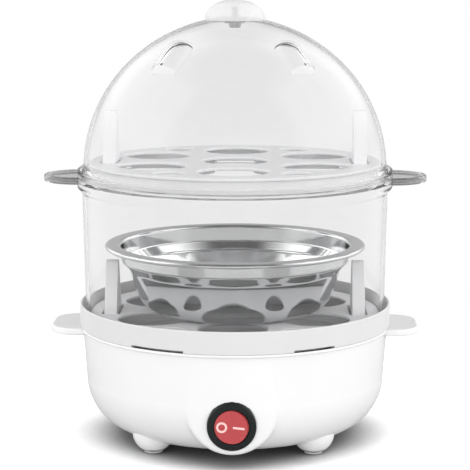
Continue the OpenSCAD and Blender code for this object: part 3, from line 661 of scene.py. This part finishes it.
def bead():
    """The round lip along the bowl's top."""
    inside, outside, low = BOWL_TOP_R - 1.0, COLLAR_R + BEAD_PROUD, SEAM_Z - 2 * BEAD_R
    corner = BEAD_R * 0.98
    return turned(rounded([
        (inside, low), (outside, low, corner), (outside, SEAM_Z, corner), (inside, SEAM_Z)]))


def foot(turn):
    """A ball foot, cut flat under its pad, with its top inside the bowl."""
    flat = math.acos((FOOT_Z - PAD_H) / FOOT_R)
    arc = [(FOOT_R * math.sin(a), FOOT_Z - FOOT_R * math.cos(a)) for a in stepped(flat, FOOT_TOP_TURN, 30)]
    return placed(turned([(0, PAD_H)] + arc + [(0, arc[-1][1])], 72), spin(turn) @ shift(FOOT_RING, 0, 0))


def make_housing():
    make_housing_bowl()
    grips = [grip(turn) for turn in (0, math.pi)]
    feet = [foot(math.radians(turn)) for turn in (45, 135, 225, 315)]
    piece("housing_grips_bead_feet", grips + [bead()] + feet, "base", "base_bowl", "white_plastic")


# ------------------------------------------------------------------ collar

TRAY_R = COLLAR_R - 5.1
COLLAR_TOP = 67.0
RIM_T = 1.0
STEP_Z = SEAM_Z + 1.7  # the tier stands here
LEDGE_Z = STEP_Z - 3.6  # and the trays here
STEP_R = TRAY_R - 0.9
LEDGE_R = STEP_R - 4.0
BASIN_R = LEDGE_R - 6.0
BASIN_Z = LEDGE_Z - 7.4
LEDGE_T = 2.0
BASIN_T = 1.8
PLATE_HOLE_R = 46.5
SPIGOT_R = BOWL_TOP_R - SHELL_T - CLEARANCE
SLOTS = ((-37.9, -16.9), (22.0, 38.4))  # where the air slots begin and end, in degrees from the front
SLOT_H = 1.2


def make_collar():
    """The ring on the bowl: a rim round the tier, ledges for tier and trays, and the water basin."""
    rim_r, under_ledge, under_basin = COLLAR_R - RIM_T, LEDGE_Z - LEDGE_T, BASIN_Z - BASIN_T
    ring = turned(rounded([
        (COLLAR_R, SEAM_Z, 0.3), (COLLAR_R, COLLAR_TOP, 0.6), (rim_r, COLLAR_TOP, 0.3),
        (rim_r - 0.8, STEP_Z), (STEP_R, STEP_Z, 0.3), (STEP_R - 0.2, LEDGE_Z),
        (LEDGE_R, LEDGE_Z, 1), (BASIN_R, BASIN_Z, 3), (PLATE_HOLE_R, BASIN_Z - 0.3, 0.4),
        (PLATE_HOLE_R, under_basin), (BASIN_R + 1, under_basin, 4.8), (LEDGE_R + 1.4, under_ledge, 0.6),
        (SPIGOT_R, under_ledge, 0.4), (SPIGOT_R, SEAM_Z)]), SIDES)
    cuts = [bent_block(a, b, STEP_R + 0.6, COLLAR_R + 1, SEAM_Z - 1, SEAM_Z + SLOT_H) for a, b in SLOTS]
    slotted = combined(ring, merged(cuts), "DIFFERENCE")
    piece("collar_look", [slotted], "base", "base_collar", "collar_plastic")


# ------------------------------------------------------------------ trays

TRAY_T = 1.6
TRAY_H = 8.0
TRAY_EDGE = 0.5
EGG_R = 16.8
EGG_RING = TRAY_R - 9.5 - EGG_R
STEAM_HOLE_R = 7.4
STEAM_HOLE_RING = TRAY_R - 12.3
SKIRT_R = TRAY_R - 1.7
SKIRT_T = 1.5
HANDLE_X = TRAY_R - 13.9
HANDLE_H = 24.9
HANDLE_T = 6.2
HANDLE_FOOT = 13.5
HANDLE_TIP = 2.3
HANDLE_HOLLOW = 2.0  # how deep the outer side of a handle is hollowed
DRAIN_W = 1.4  # of the slots along both sides of a handle's foot
DRAIN_LEN = 2 * (HANDLE_FOOT - 1)
RIB_T = 1.2
RIB_H = 2.4
LOWER_TRAY_TOP = 62.2
UPPER_TRAY_TOP = 137.0


def around(radius, degrees):
    """The point at that angle of a circle round the axis."""
    a = math.radians(degrees)
    return radius * math.cos(a), radius * math.sin(a)


def handle_blade(foot, tip, low, high):
    """A handle from the side: wide at its foot, narrow and round at its tip."""
    return rounded([(-foot, low), (foot, low), (tip, high, tip * 0.7), (-tip, high, tip * 0.7)])


def tray_holes():
    """Seven egg holes, four steam holes, and drain slots beside the handles."""
    holes = [circle(0, 0, EGG_R)] + [circle(*around(EGG_RING, a), EGG_R) for a in range(30, 360, 60)]
    holes += [circle(*around(STEAM_HOLE_RING, a), STEAM_HOLE_R, 64) for a in (60, 120, 240, 300)]
    for side in (-1, 1):
        for x in (HANDLE_X - DRAIN_W / 2, HANDLE_X + HANDLE_T + DRAIN_W / 2):
            holes.append(rectangle(side * x, 0, DRAIN_W, DRAIN_LEN))
    return holes


def tray_handle(turn):
    """A handle, hollowed on its outer side."""
    blade = handle_blade(HANDLE_FOOT, HANDLE_TIP, -TRAY_T / 2, HANDLE_H)
    hollow = handle_blade(HANDLE_FOOT - 3.2, HANDLE_TIP * 0.5, 1.6, HANDLE_H - 4.4)
    outside = HANDLE_X + HANDLE_T
    solid = plate(blade, [], HANDLE_X, outside, 0.35)
    recess = plate(hollow, [], outside - HANDLE_HOLLOW, outside + HANDLE_HOLLOW, 0.2)
    upright = Matrix(((0, 0, 1, 0), (1, 0, 0, 0), (0, 1, 0, 0), (0, 0, 0, 1)))
    return placed(combined(solid, recess, "DIFFERENCE"), spin(turn) @ upright)


def tray_rib(turn):
    """A rib under the tray, from the middle hole outwards between two egg holes."""
    near, far = EGG_R + 3, STEAM_HOLE_RING - STEAM_HOLE_R - 1
    outline = rectangle((near + far) / 2, 0, far - near, RIB_T)
    return placed(plate(outline, [], -TRAY_T - RIB_H, -TRAY_T / 2, 0.15), spin(turn))


def tray_parts():
    """The closed shells of a tray whose top face is at height zero."""
    skirt = turned(rounded([
        (SKIRT_R - SKIRT_T - 0.2, -TRAY_H, 0.3), (SKIRT_R - 0.2, -TRAY_H, 0.3),
        (SKIRT_R, -TRAY_T / 2), (SKIRT_R - SKIRT_T, -TRAY_T / 2)]))
    parts = [plate(circle(0, 0, TRAY_R, SIDES), tray_holes(), -TRAY_T, 0, TRAY_EDGE), skirt]
    parts += [tray_rib(math.radians(60 * k)) for k in range(6)]
    return parts + [tray_handle(turn) for turn in (0, math.pi)]


def make_trays():
    for name, top in (("lower_tray", LOWER_TRAY_TOP), ("upper_tray", UPPER_TRAY_TOP)):
        parts = [placed(part, shift(0, 0, top)) for part in tray_parts()]
        piece(name + "_look", parts, name + "_body", name, "tray_plastic")


# ------------------------------------------------------------------ steam bowl

STEAM_R = TRAY_R + CLEARANCE - 7.7
STEAM_TOP = LOWER_TRAY_TOP + 33.8
STEEL_T = 0.6
ROLL_R = 1.1
# Corners of the wall: how far inside and below the rim's edge, and the radius.
STEAM_FOOT = (18.5, 14.1)  # on the floor, so without a depth
STEAM_BEND = (12.0, 12.3, 5.0)  # the wall leans out from here
STEAM_STEP = (8.3, 8.2, 2.5)  # and stands up again from here
STEAM_MOUTH = (7.2, 1.2)  # under the rim, so without a depth


def make_steam_bowl():
    """The pressed steel bowl: round corner, a soft step for stacking, and a rim rolled under."""
    r, floor, top, half = STEAM_R, LOWER_TRAY_TOP, STEAM_TOP, STEEL_T / 2
    bends = [(r - half - inwards, top - down, radius) for inwards, down, radius in (STEAM_BEND, STEAM_STEP)]
    wall = rounded([
        (0, floor + half), (r - half - STEAM_FOOT[0], floor + half, STEAM_FOOT[1] - half), *bends,
        (r - half - STEAM_MOUTH[0], top - half, STEAM_MOUTH[1] + half), (r - ROLL_R, top - half)])
    middle, reach = (r - ROLL_R, top - ROLL_R), ROLL_R - half
    turns = stepped(math.radians(90), math.radians(-150), 40)[1:]
    roll = [(middle[0] + reach * math.cos(a), middle[1] + reach * math.sin(a)) for a in turns]
    bowl = turned(sheet(wall + roll, STEEL_T), SIDES)
    piece("steam_bowl_look", [bowl], "steam_bowl_body", "steam_bowl", "polished_steel")


# ------------------------------------------------------------------ clear tier and lid

CLEAR_T = 1.8
TIER_FOOT_R = TRAY_R + CLEARANCE + CLEAR_T
TIER_RIM = STEP_Z + 74.2
TIER_RIM_R = TIER_FOOT_R + 3.7
NECK_R = TIER_FOOT_R + 1.2
NECK_Z = TIER_RIM - 10.2
FLARE_Z = TIER_RIM - 7.0
SHELF_Z = TIER_RIM - 3.0
SHELF_T = 1.6
SHELF_R = SKIRT_R - 1.9
EAR_R = 18.0
EAR_T = 3.6
EAR_BORDER = 2.2
EAR_WEB = 1.4
EAR_SINK = 1.3  # the ears' centres lie this far inside the rim
EAR_Z = TIER_RIM - 5.1
DOME_R = TIER_FOOT_R + 0.7
DOME_BASE = TIER_RIM - 1.4
DOME_RISE = 77.0
DOME_SIDE = 1.063  # how the dome's radius falls off with height
DOME_CROWN = 0.944  # how its height grows
DOME_FOOT = 2.8
VENT_ANGLE = math.radians(36.5)
VENT_LIFT = math.radians(47.4)
VENT_R = 8.8
VENT_LEN = 12.0
VENT_RISE = 4.4
VENT_WALL = 1.4
VENT_BALL = (-VENT_LEN / 2, 0, VENT_RISE - VENT_R)  # centre of a hood's round end, from its place on the dome
KNOB_R = 14.8
KNOB_TOP = 216.0
KNOB_GAP = 0.05  # between the knob's seat and the dome


def make_tier_wall():
    """The clear wall with its neck, flared rim, and the shelf that carries the upper tray."""
    inner = TIER_RIM_R - CLEAR_T
    wall = turned(rounded([
        (TIER_FOOT_R, STEP_Z, 0.3), (NECK_R, NECK_Z, 2), (TIER_RIM_R, FLARE_Z, 1.2),
        (TIER_RIM_R, TIER_RIM, 0.4), (inner, TIER_RIM, 0.3), (inner, SHELF_Z, 0.4), (SHELF_R, SHELF_Z, 0.3),
        (SHELF_R, SHELF_Z - SHELF_T, 0.3), (inner - 0.3, SHELF_Z - SHELF_T, 0.4),
        (inner - 0.3, FLARE_Z + 0.6, 0.8), (NECK_R - CLEAR_T, NECK_Z + 0.4, 1.6),
        (TIER_FOOT_R - CLEAR_T, STEP_Z, 0.3)]), SIDES)
    piece("tier_look", [wall], "tier_body", "clear_tier", "clear_plastic")


def make_tier_ears():
    """The two half-round grips: a thin web in a thick border."""
    middle, border = EAR_T / 2, EAR_R - EAR_BORDER
    outline = rounded([
        (0, middle - EAR_WEB / 2), (border, middle - EAR_WEB / 2), (border, 0, 0.9), (EAR_R, 0, 0.9),
        (EAR_R, EAR_T, 0.9), (border, EAR_T, 0.9), (border, middle + EAR_WEB / 2), (0, middle + EAR_WEB / 2)])
    ears = []
    for side in (-1, 1):
        disc = placed(turned(outline, 192), shift(side * (TIER_RIM_R - EAR_SINK), 0, EAR_Z))
        tier = turned([(0, 0), (TIER_RIM_R, 0), (TIER_RIM_R, 200), (0, 200)], SIDES)
        ears.append(combined(disc, tier, "DIFFERENCE"))
    look = clear_plastic("clear_plastic_ear_look", EAR_TONES, 1.2)
    piece("tier_ears_look", ears, "tier_body", "clear_tier", "clear_plastic", look=look)


def dome_curve(by, start_z, steps=64):
    """The dome's skin moved in by some millimetres, from a height up to the crown."""
    first = math.asin(((start_z - DOME_BASE) / (DOME_RISE - by)) ** (1 / DOME_CROWN))
    angles = stepped(first, math.pi / 2, steps)
    return [
        ((DOME_R - by) * math.cos(a) ** DOME_SIDE, DOME_BASE + (DOME_RISE - by) * math.sin(a) ** DOME_CROWN)
        for a in angles
    ]


def dome_skin(by):
    """Distance and direction of the dome's skin, moved in by some millimetres, at given points."""
    def surface(points):
        rho = np.hypot(points[:, 0], points[:, 1])
        side, height = DOME_R - by, DOME_RISE - by
        u, v = rho / side, np.maximum(points[:, 2] - DOME_BASE, 0) / height
        level = u ** (2 / DOME_SIDE) + v ** (2 / DOME_CROWN) - 1
        out = 2 / DOME_SIDE * u ** (2 / DOME_SIDE - 1) / side
        up = 2 / DOME_CROWN * v ** (2 / DOME_CROWN - 1) / height
        steep = np.hypot(out, up)
        across = points[:, :2] / np.maximum(rho, 1e-9)[:, None]
        return level / steep, np.column_stack([across * (out / steep)[:, None], up / steep])
    return surface


def vent_places():
    """A frame on the dome at each vent, +Z out of it and +X down the slope."""
    cos, sin = math.cos(VENT_LIFT), math.sin(VENT_LIFT)
    r, z = DOME_R * cos ** DOME_SIDE, DOME_BASE + DOME_RISE * sin ** DOME_CROWN
    out = DOME_R * DOME_SIDE * cos ** (DOME_SIDE - 1) * sin
    up = DOME_RISE * DOME_CROWN * sin ** (DOME_CROWN - 1) * cos
    lean = shift(r, 0, z) @ spin(math.atan2(up, out), "Y")
    return [spin(side * VENT_ANGLE - math.pi / 2) @ lean for side in (-1, 1)]


def hood(place, r, length):
    """A ball at the upper end and a barrel down to the open mouth."""
    ball = [(r * math.sin(a), -r * math.cos(a)) for a in stepped(0, math.pi / 2, 24)]
    barrel = turned(ball + [(r, length), (0, length)], 96)
    return placed(barrel, place @ shift(*VENT_BALL) @ spin(math.pi / 2, "Y"))


def hood_skin(place, r):
    """Distance and direction of a hood's skin at given points."""
    back, turn = np.array(place.inverted()), np.array(place.to_3x3())

    def surface(points):
        spoke = points @ back[:3, :3].T + back[:3, 3] / MM - VENT_BALL
        spoke[:, 0] = np.minimum(spoke[:, 0], 0)
        size = np.linalg.norm(spoke, axis=1)
        return size - r, spoke / size[:, None] @ turn.T
    return surface


def follow(mesh, surfaces, near=0.03):
    """Gives faces that lie on one of the surfaces its exact normals; the others keep their own."""
    points = np.empty(len(mesh.vertices) * 3)
    mesh.vertices.foreach_get("co", points)
    points = points.reshape(-1, 3) / MM
    exact = [surface(points) for surface in surfaces]
    normals = np.zeros((len(mesh.loops), 3))
    for face in mesh.polygons:
        corners = list(face.vertices)
        for distance, direction in exact:
            if np.abs(distance[corners]).max() < near:
                facing = direction[corners].mean(axis=0) @ np.array(face.normal)
                normals[list(face.loop_indices)] = direction[corners] * math.copysign(1, facing)
                break
    mesh.normals_split_custom_set([tuple(n) for n in normals])


def make_dome():
    """The thin dome with its foot, and a hood with an open mouth over each vent."""
    plug, flange = TIER_RIM_R - CLEAR_T - CLEARANCE, TIER_RIM_R - 0.1
    inner, bottom, foot_top = plug - CLEAR_T, SHELF_Z + CLEARANCE, TIER_RIM + DOME_FOOT
    foot = rounded([
        (0, bottom), (plug, bottom, 0.4), (plug, TIER_RIM), (flange, TIER_RIM, 0.3),
        (flange, TIER_RIM + 1.2, 0.6), (DOME_R + 0.5, foot_top, 1.0)])
    solid = turned(foot + dome_curve(0, foot_top + 0.5), SIDES)
    below = SHELF_Z - 2
    space = turned([(0, below), (inner, below), (inner, TIER_RIM)] + dome_curve(CLEAR_T, TIER_RIM), SIDES)
    places = vent_places()
    solid = combined(solid, merged([hood(p, VENT_R, VENT_LEN) for p in places]), "UNION")
    space = combined(space, merged([hood(p, VENT_R - VENT_WALL, VENT_LEN + 2) for p in places]), "UNION")
    dome = combined(solid, space, "DIFFERENCE")
    mesh = bpy.data.meshes.new("dome_look")
    dome.to_mesh(mesh)
    dome.free()
    mesh.shade_smooth()
    mesh.set_sharp_from_angle(angle=math.radians(35))
    surfaces = [dome_skin(0), dome_skin(CLEAR_T)]
    for p in places:
        surfaces += [hood_skin(p, VENT_R), hood_skin(p, VENT_R - VENT_WALL)]
    follow(mesh, surfaces)
    dressed(linked("dome_look", mesh), "lid_body", "lid_dome", "clear_plastic")


def make_knob():
    """The cap on the crown: a flattened half ball whose seat follows the dome."""
    seat_turn = math.acos((KNOB_R / DOME_R) ** (1 / DOME_SIDE))
    base = DOME_BASE + DOME_RISE * math.sin(seat_turn) ** DOME_CROWN
    rise = KNOB_TOP - base
    cap = [(KNOB_R * math.cos(a), base + rise * math.sin(a)) for a in stepped(0, math.pi / 2, 40)]
    seat = dome_curve(-KNOB_GAP, base, 24)[::-1]
    piece("knob_look", [turned(seat + cap, 192)], "lid_body", "lid_knob", "knob_plastic")


# ------------------------------------------------------------------ switch

BEZEL_R = 11.55
BEZEL_T = 1.9
SWITCH_BODY_R = 9.9
SWITCH_BODY_H = 7.0
SWITCH_CUP_H = 6.0
ROCKER_R = 8.0
ROCKER_GAP = 0.3
ROCKER_TILT = math.radians(10)
ROCKER_DEPTH = 4.6
PIVOT_DEPTH = 1.2
FACET_RISE = 0.8
MARK_H = 0.25
MARK_SINK = 0.1
RING_R = 2.55
RING_HOLE_R = 1.6
RING_X = -4.6
BAR_LEN = 5.7
BAR_W = 1.0
BAR_X = 3.84


def rocker_cap():
    """Half a ball with two flat facets on top, each tilted down towards the middle."""
    ball = [(ROCKER_R * math.sin(a), -ROCKER_R * math.cos(a)) for a in stepped(0, math.pi, 64)]
    cap = turned(ball, 128)
    big = 2 * ROCKER_R
    stretch = Matrix.Diagonal((big * MM, 2 * big * MM, big * MM, 1))
    for half_turn in (0, math.pi):
        facet = spin(half_turn) @ shift(0, 0, FACET_RISE) @ spin(-ROCKER_TILT, "Y")
        above = facet @ shift(big / 2 - 0.01, 0, big / 2)
        cap = combined(cap, block(above @ stretch), "DIFFERENCE")
    under = shift(0, 0, -ROCKER_DEPTH - big / 2)
    return combined(cap, block(under @ stretch), "DIFFERENCE")


def make_switch():
    """A round rocker switch: black bezel, red cap of two facets, ring and bar let into it."""
    face = POD_FACE_R - SEAT_DEPTH
    panel = shift(0, -face, SWITCH_Z) @ spin(math.pi / 2 + math.atan(POD_DRAFT), "X")
    inner = ROCKER_R + ROCKER_GAP
    bezel = turned(rounded([
        (0, -SWITCH_BODY_H), (SWITCH_BODY_R, -SWITCH_BODY_H), (SWITCH_BODY_R, 0), (BEZEL_R, 0),
        (BEZEL_R, BEZEL_T, 1.1), (inner, BEZEL_T, 0.4), (inner, -SWITCH_CUP_H), (0, -SWITCH_CUP_H)]), 192)
    piece("bezel_look", [placed(bezel, panel)], "base", "switch_bezel", "bezel_plastic")
    pivot = panel @ shift(0, 0, BEZEL_T - PIVOT_DEPTH) @ spin(-ROCKER_TILT, "Y")
    cap = placed(rocker_cap(), pivot)
    piece("rocker_look", [cap], "rocker", "switch_rocker", "rocker_plastic", crease=12)
    ring = turned([
        (RING_HOLE_R, -MARK_SINK), (RING_R, -MARK_SINK), (RING_R, MARK_H), (RING_HOLE_R, MARK_H)], 96)
    bar = plate(rectangle(0, 0, BAR_LEN, BAR_W), [], -MARK_SINK, MARK_H, 0.05)
    marks = [
        placed(ring, pivot @ spin(ROCKER_TILT, "Y") @ shift(RING_X, 0, FACET_RISE)),
        placed(bar, pivot @ spin(-ROCKER_TILT, "Y") @ shift(BAR_X, 0, FACET_RISE)),
    ]
    piece("marks_look", marks, "rocker", "rocker_marks", "mark_ink")


make_housing()
make_collar()
make_trays()
make_steam_bowl()
make_tier_wall()
make_tier_ears()
make_dome()
make_knob()
make_switch()


# ------------------------------------------------------------------ studio

FLOOR_HALF = 20.0
SHADE_RADIUS = 0.16  # the floor is shaded by the object up to here
WHITE_RADIUS = 0.30  # and plain white to the eye from here on
FLOOR_ALBEDO = 0.55
# Painted shadow: to the eye the floor's colour is darkened where something stands close over it.
SHADOW_PAINT_REACH = 0.075  # the floor looks darker where something stands this close over it
SHADOW_PAINT_TONES = [(0.0, 0.10), (0.15, 0.21), (0.35, 0.55), (0.75, 1.5), (1.0, 2.0)]  # (openness, brightness)

# Light on the object and, in reflections, the room: heights are sines, turns are radians from the front.
SKY_RING = [(0.0, 3.0), (0.3, 2.2), (0.5, 1.1), (1.0, 0.95)]  # (height, brightness)
SKY_DEPTH = [(-0.2, 1.0), (1.0, 0.75)]  # (how far back, brightness)
RIGHT_GAIN = 0.08  # how much brighter the right side is
ROOM_TONES = [(0.0, 0.9), (0.25, 0.55), (0.6, 0.25), (1.0, 0.12)]  # (height, brightness)
BOX_TURNS = ((0.75, 1.15), (3.05, 2.60))  # the softboxes' edges: (dark here, full there), twice
BOX_HEIGHTS = ((0.02, 0.35), (0.97, 0.80))
BOX_TONE = 1.5
FLAG_TURNS = ((0.50, 0.56), (1.07, 1.01))  # the edges of two dark strips below the horizon
FLAG_TONE = 0.38
BACK_REACH = (0.72, 0.97)  # reflections darken as a ray's part towards the back grows from here to there
BACK_TONE = 0.8


class Studio(Graph):
    """The nodes of the world and the floor."""

    def __init__(self, tree):
        tree.nodes.clear()
        super().__init__(tree)

    def direction(self):
        """How far a ray leaving the scene runs to the right, to the back and up."""
        return self.node("SeparateXYZ", {0: self.node("TexCoord").outputs["Generated"]}).outputs

    def roles(self):
        """Whether a ray is the eye's own, also through clear plastic, and whether it is a reflection."""
        path = self.node("LightPath").outputs
        bounced = self.math("MINIMUM", path["Glossy Depth"], 1.0)
        through = path["Is Transmission Ray"]
        direct = self.math("MULTIPLY", through, self.math("SUBTRACT", 1.0, bounced))
        seen = self.math("MAXIMUM", path["Is Camera Ray"], direct)
        reflected = self.math("MAXIMUM", path["Is Glossy Ray"], self.math("MULTIPLY", through, bounced))
        return seen, reflected

    def soft_step(self, value, start, end, low=0.0, high=1.0):
        return self.mapped(value, start, end, low, high, "SMOOTHSTEP")

    def band(self, value, rise, fall):
        """One between two soft edges and zero beyond them; an edge says where it is zero and where one."""
        return self.math("MULTIPLY", self.soft_step(value, *rise), self.soft_step(value, *fall))

    def ramp(self, value, stops):
        """Brightness from (value, brightness) stops of rising value."""
        total = stops[0][1]
        for (start, low), (end, high) in zip(stops, stops[1:]):
            total = self.math("ADD", total, self.mapped(value, start, end, 0.0, high - low))
        return total

    def background(self, strength):
        return self.node("Background", {"Strength": strength, "Color": 1.0}).outputs[0]

    def glow(self, strength):
        return self.node("Emission", {"Strength": strength}).outputs[0]

    def diffuse(self, tone):
        return self.node("BsdfDiffuse", {"Color": tone}).outputs[0]


def floor_material():
    """Pale floor, shaded by the object near it and there darkened more by a painted shadow to the eye; plain
    white to the eye further off.
    """
    material = bpy.data.materials.new("studio_floor")
    material.use_nodes = True
    floor = Studio(material.node_tree)
    seen, reflected = floor.roles()
    place = floor.node("TexCoord").outputs["Object"]
    distance = floor.node("VectorMath", {0: place}, operation="LENGTH").outputs["Value"]
    far = floor.soft_step(distance, SHADE_RADIUS, WHITE_RADIUS)
    # Painted shadow: the floor's colour to the eye, set by how open it is, on top of its real shading.
    tone = floor.ramp(floor.openness(SHADOW_PAINT_REACH, 12), SHADOW_PAINT_TONES)
    near = floor.mix(seen, floor.diffuse(FLOOR_ALBEDO), floor.diffuse(tone))
    beyond = floor.mix(reflected, floor.glow(1.0), floor.node("BsdfTransparent").outputs[0])
    either = floor.math("MAXIMUM", seen, reflected)
    whole = floor.mix(floor.math("MULTIPLY", far, either), near, beyond)
    floor.node("OutputMaterial", {"Surface": whole})
    return material


def make_floor():
    """A wide floor at height zero."""
    mesh = bpy.data.meshes.new("studio_floor")
    h = FLOOR_HALF
    mesh.from_pydata([(-h, -h, 0), (h, -h, 0), (h, h, 0), (-h, h, 0)], [], [(0, 1, 2, 3)])
    mesh.materials.append(floor_material())
    linked("studio_floor", mesh)


def make_world():
    """Plain white to the eye; a ring of soft light round the object; in reflections a studio room."""
    world = bpy.data.worlds.new("studio")
    bpy.context.scene.world = world
    world.use_nodes = True
    sky = Studio(world.node_tree)
    right, back, up = sky.direction()
    sides = sky.math("ADD", 1.0, sky.math("MULTIPLY", right, RIGHT_GAIN))
    level = sky.math("MULTIPLY", sky.ramp(up, SKY_RING), sides)
    light = sky.math("MULTIPLY", level, sky.ramp(back, SKY_DEPTH))

    turn = sky.math("ABSOLUTE", sky.math("ARCTAN2", right, sky.math("MULTIPLY", back, -1.0)))
    boxes = sky.math("MULTIPLY", sky.band(turn, *BOX_TURNS), sky.band(up, *BOX_HEIGHTS))
    above = sky.math("ADD", sky.ramp(up, ROOM_TONES), sky.math("MULTIPLY", boxes, BOX_TONE))
    below = sky.math("SUBTRACT", 1.0, sky.math("MULTIPLY", sky.band(turn, *FLAG_TURNS), FLAG_TONE))
    is_up = sky.soft_step(up, -0.02, 0.02)
    is_down = sky.math("SUBTRACT", 1.0, is_up)
    room = sky.math("ADD", sky.math("MULTIPLY", above, is_up), sky.math("MULTIPLY", below, is_down))
    mirrored = sky.math("MULTIPLY", room, sky.soft_step(back, *BACK_REACH, 1.0, BACK_TONE))

    seen, reflected = sky.roles()
    unseen = sky.mix(reflected, sky.background(light), sky.background(mirrored))
    sky.node("OutputWorld", {"Surface": sky.mix(seen, unseen, sky.background(1.0))})


def softbox(name, place, aim, size, watts):
    """A rectangular lamp at a place, turned towards its aim."""
    lamp = bpy.data.lights.new(name, "AREA")
    lamp.shape = "RECTANGLE"
    lamp.size, lamp.size_y = size
    lamp.energy = watts
    holder = linked(name, lamp)
    holder.location = place
    direction = Vector(aim) - Vector(place)
    holder.rotation_euler = direction.to_track_quat("-Z", "Y").to_euler()


CAMERA_DISTANCE = 0.8614
CAMERA_HEIGHT = 0.2368
CAMERA_TILT = math.radians(9.04)
CAMERA_AZIMUTH = math.radians(1.2)
CAMERA_LENS = 134.5
FRONT_LAMP = (0.25, -1.2, 0.7)
FRONT_LAMP_SIZE = (0.8, 0.5)
FRONT_LAMP_WATTS = 0.35
LAMP_AIM = (0, 0, 0.1)


def make_camera():
    """The camera of the photo."""
    lens = bpy.data.cameras.new("camera")
    lens.lens = CAMERA_LENS
    lens.sensor_width = 36.0
    lens.clip_start = 0.05
    lens.clip_end = 100.0
    camera = linked("camera", lens)
    camera.location = (
        CAMERA_DISTANCE * math.sin(CAMERA_AZIMUTH),
        -CAMERA_DISTANCE * math.cos(CAMERA_AZIMUTH),
        CAMERA_HEIGHT,
    )
    camera.rotation_euler = (math.pi / 2 - CAMERA_TILT, 0.0, CAMERA_AZIMUTH)
    bpy.context.scene.camera = camera


bpy.context.scene.view_settings.view_transform = "Standard"
make_floor()
make_world()
softbox("front", FRONT_LAMP, LAMP_AIM, FRONT_LAMP_SIZE, FRONT_LAMP_WATTS)
make_camera()
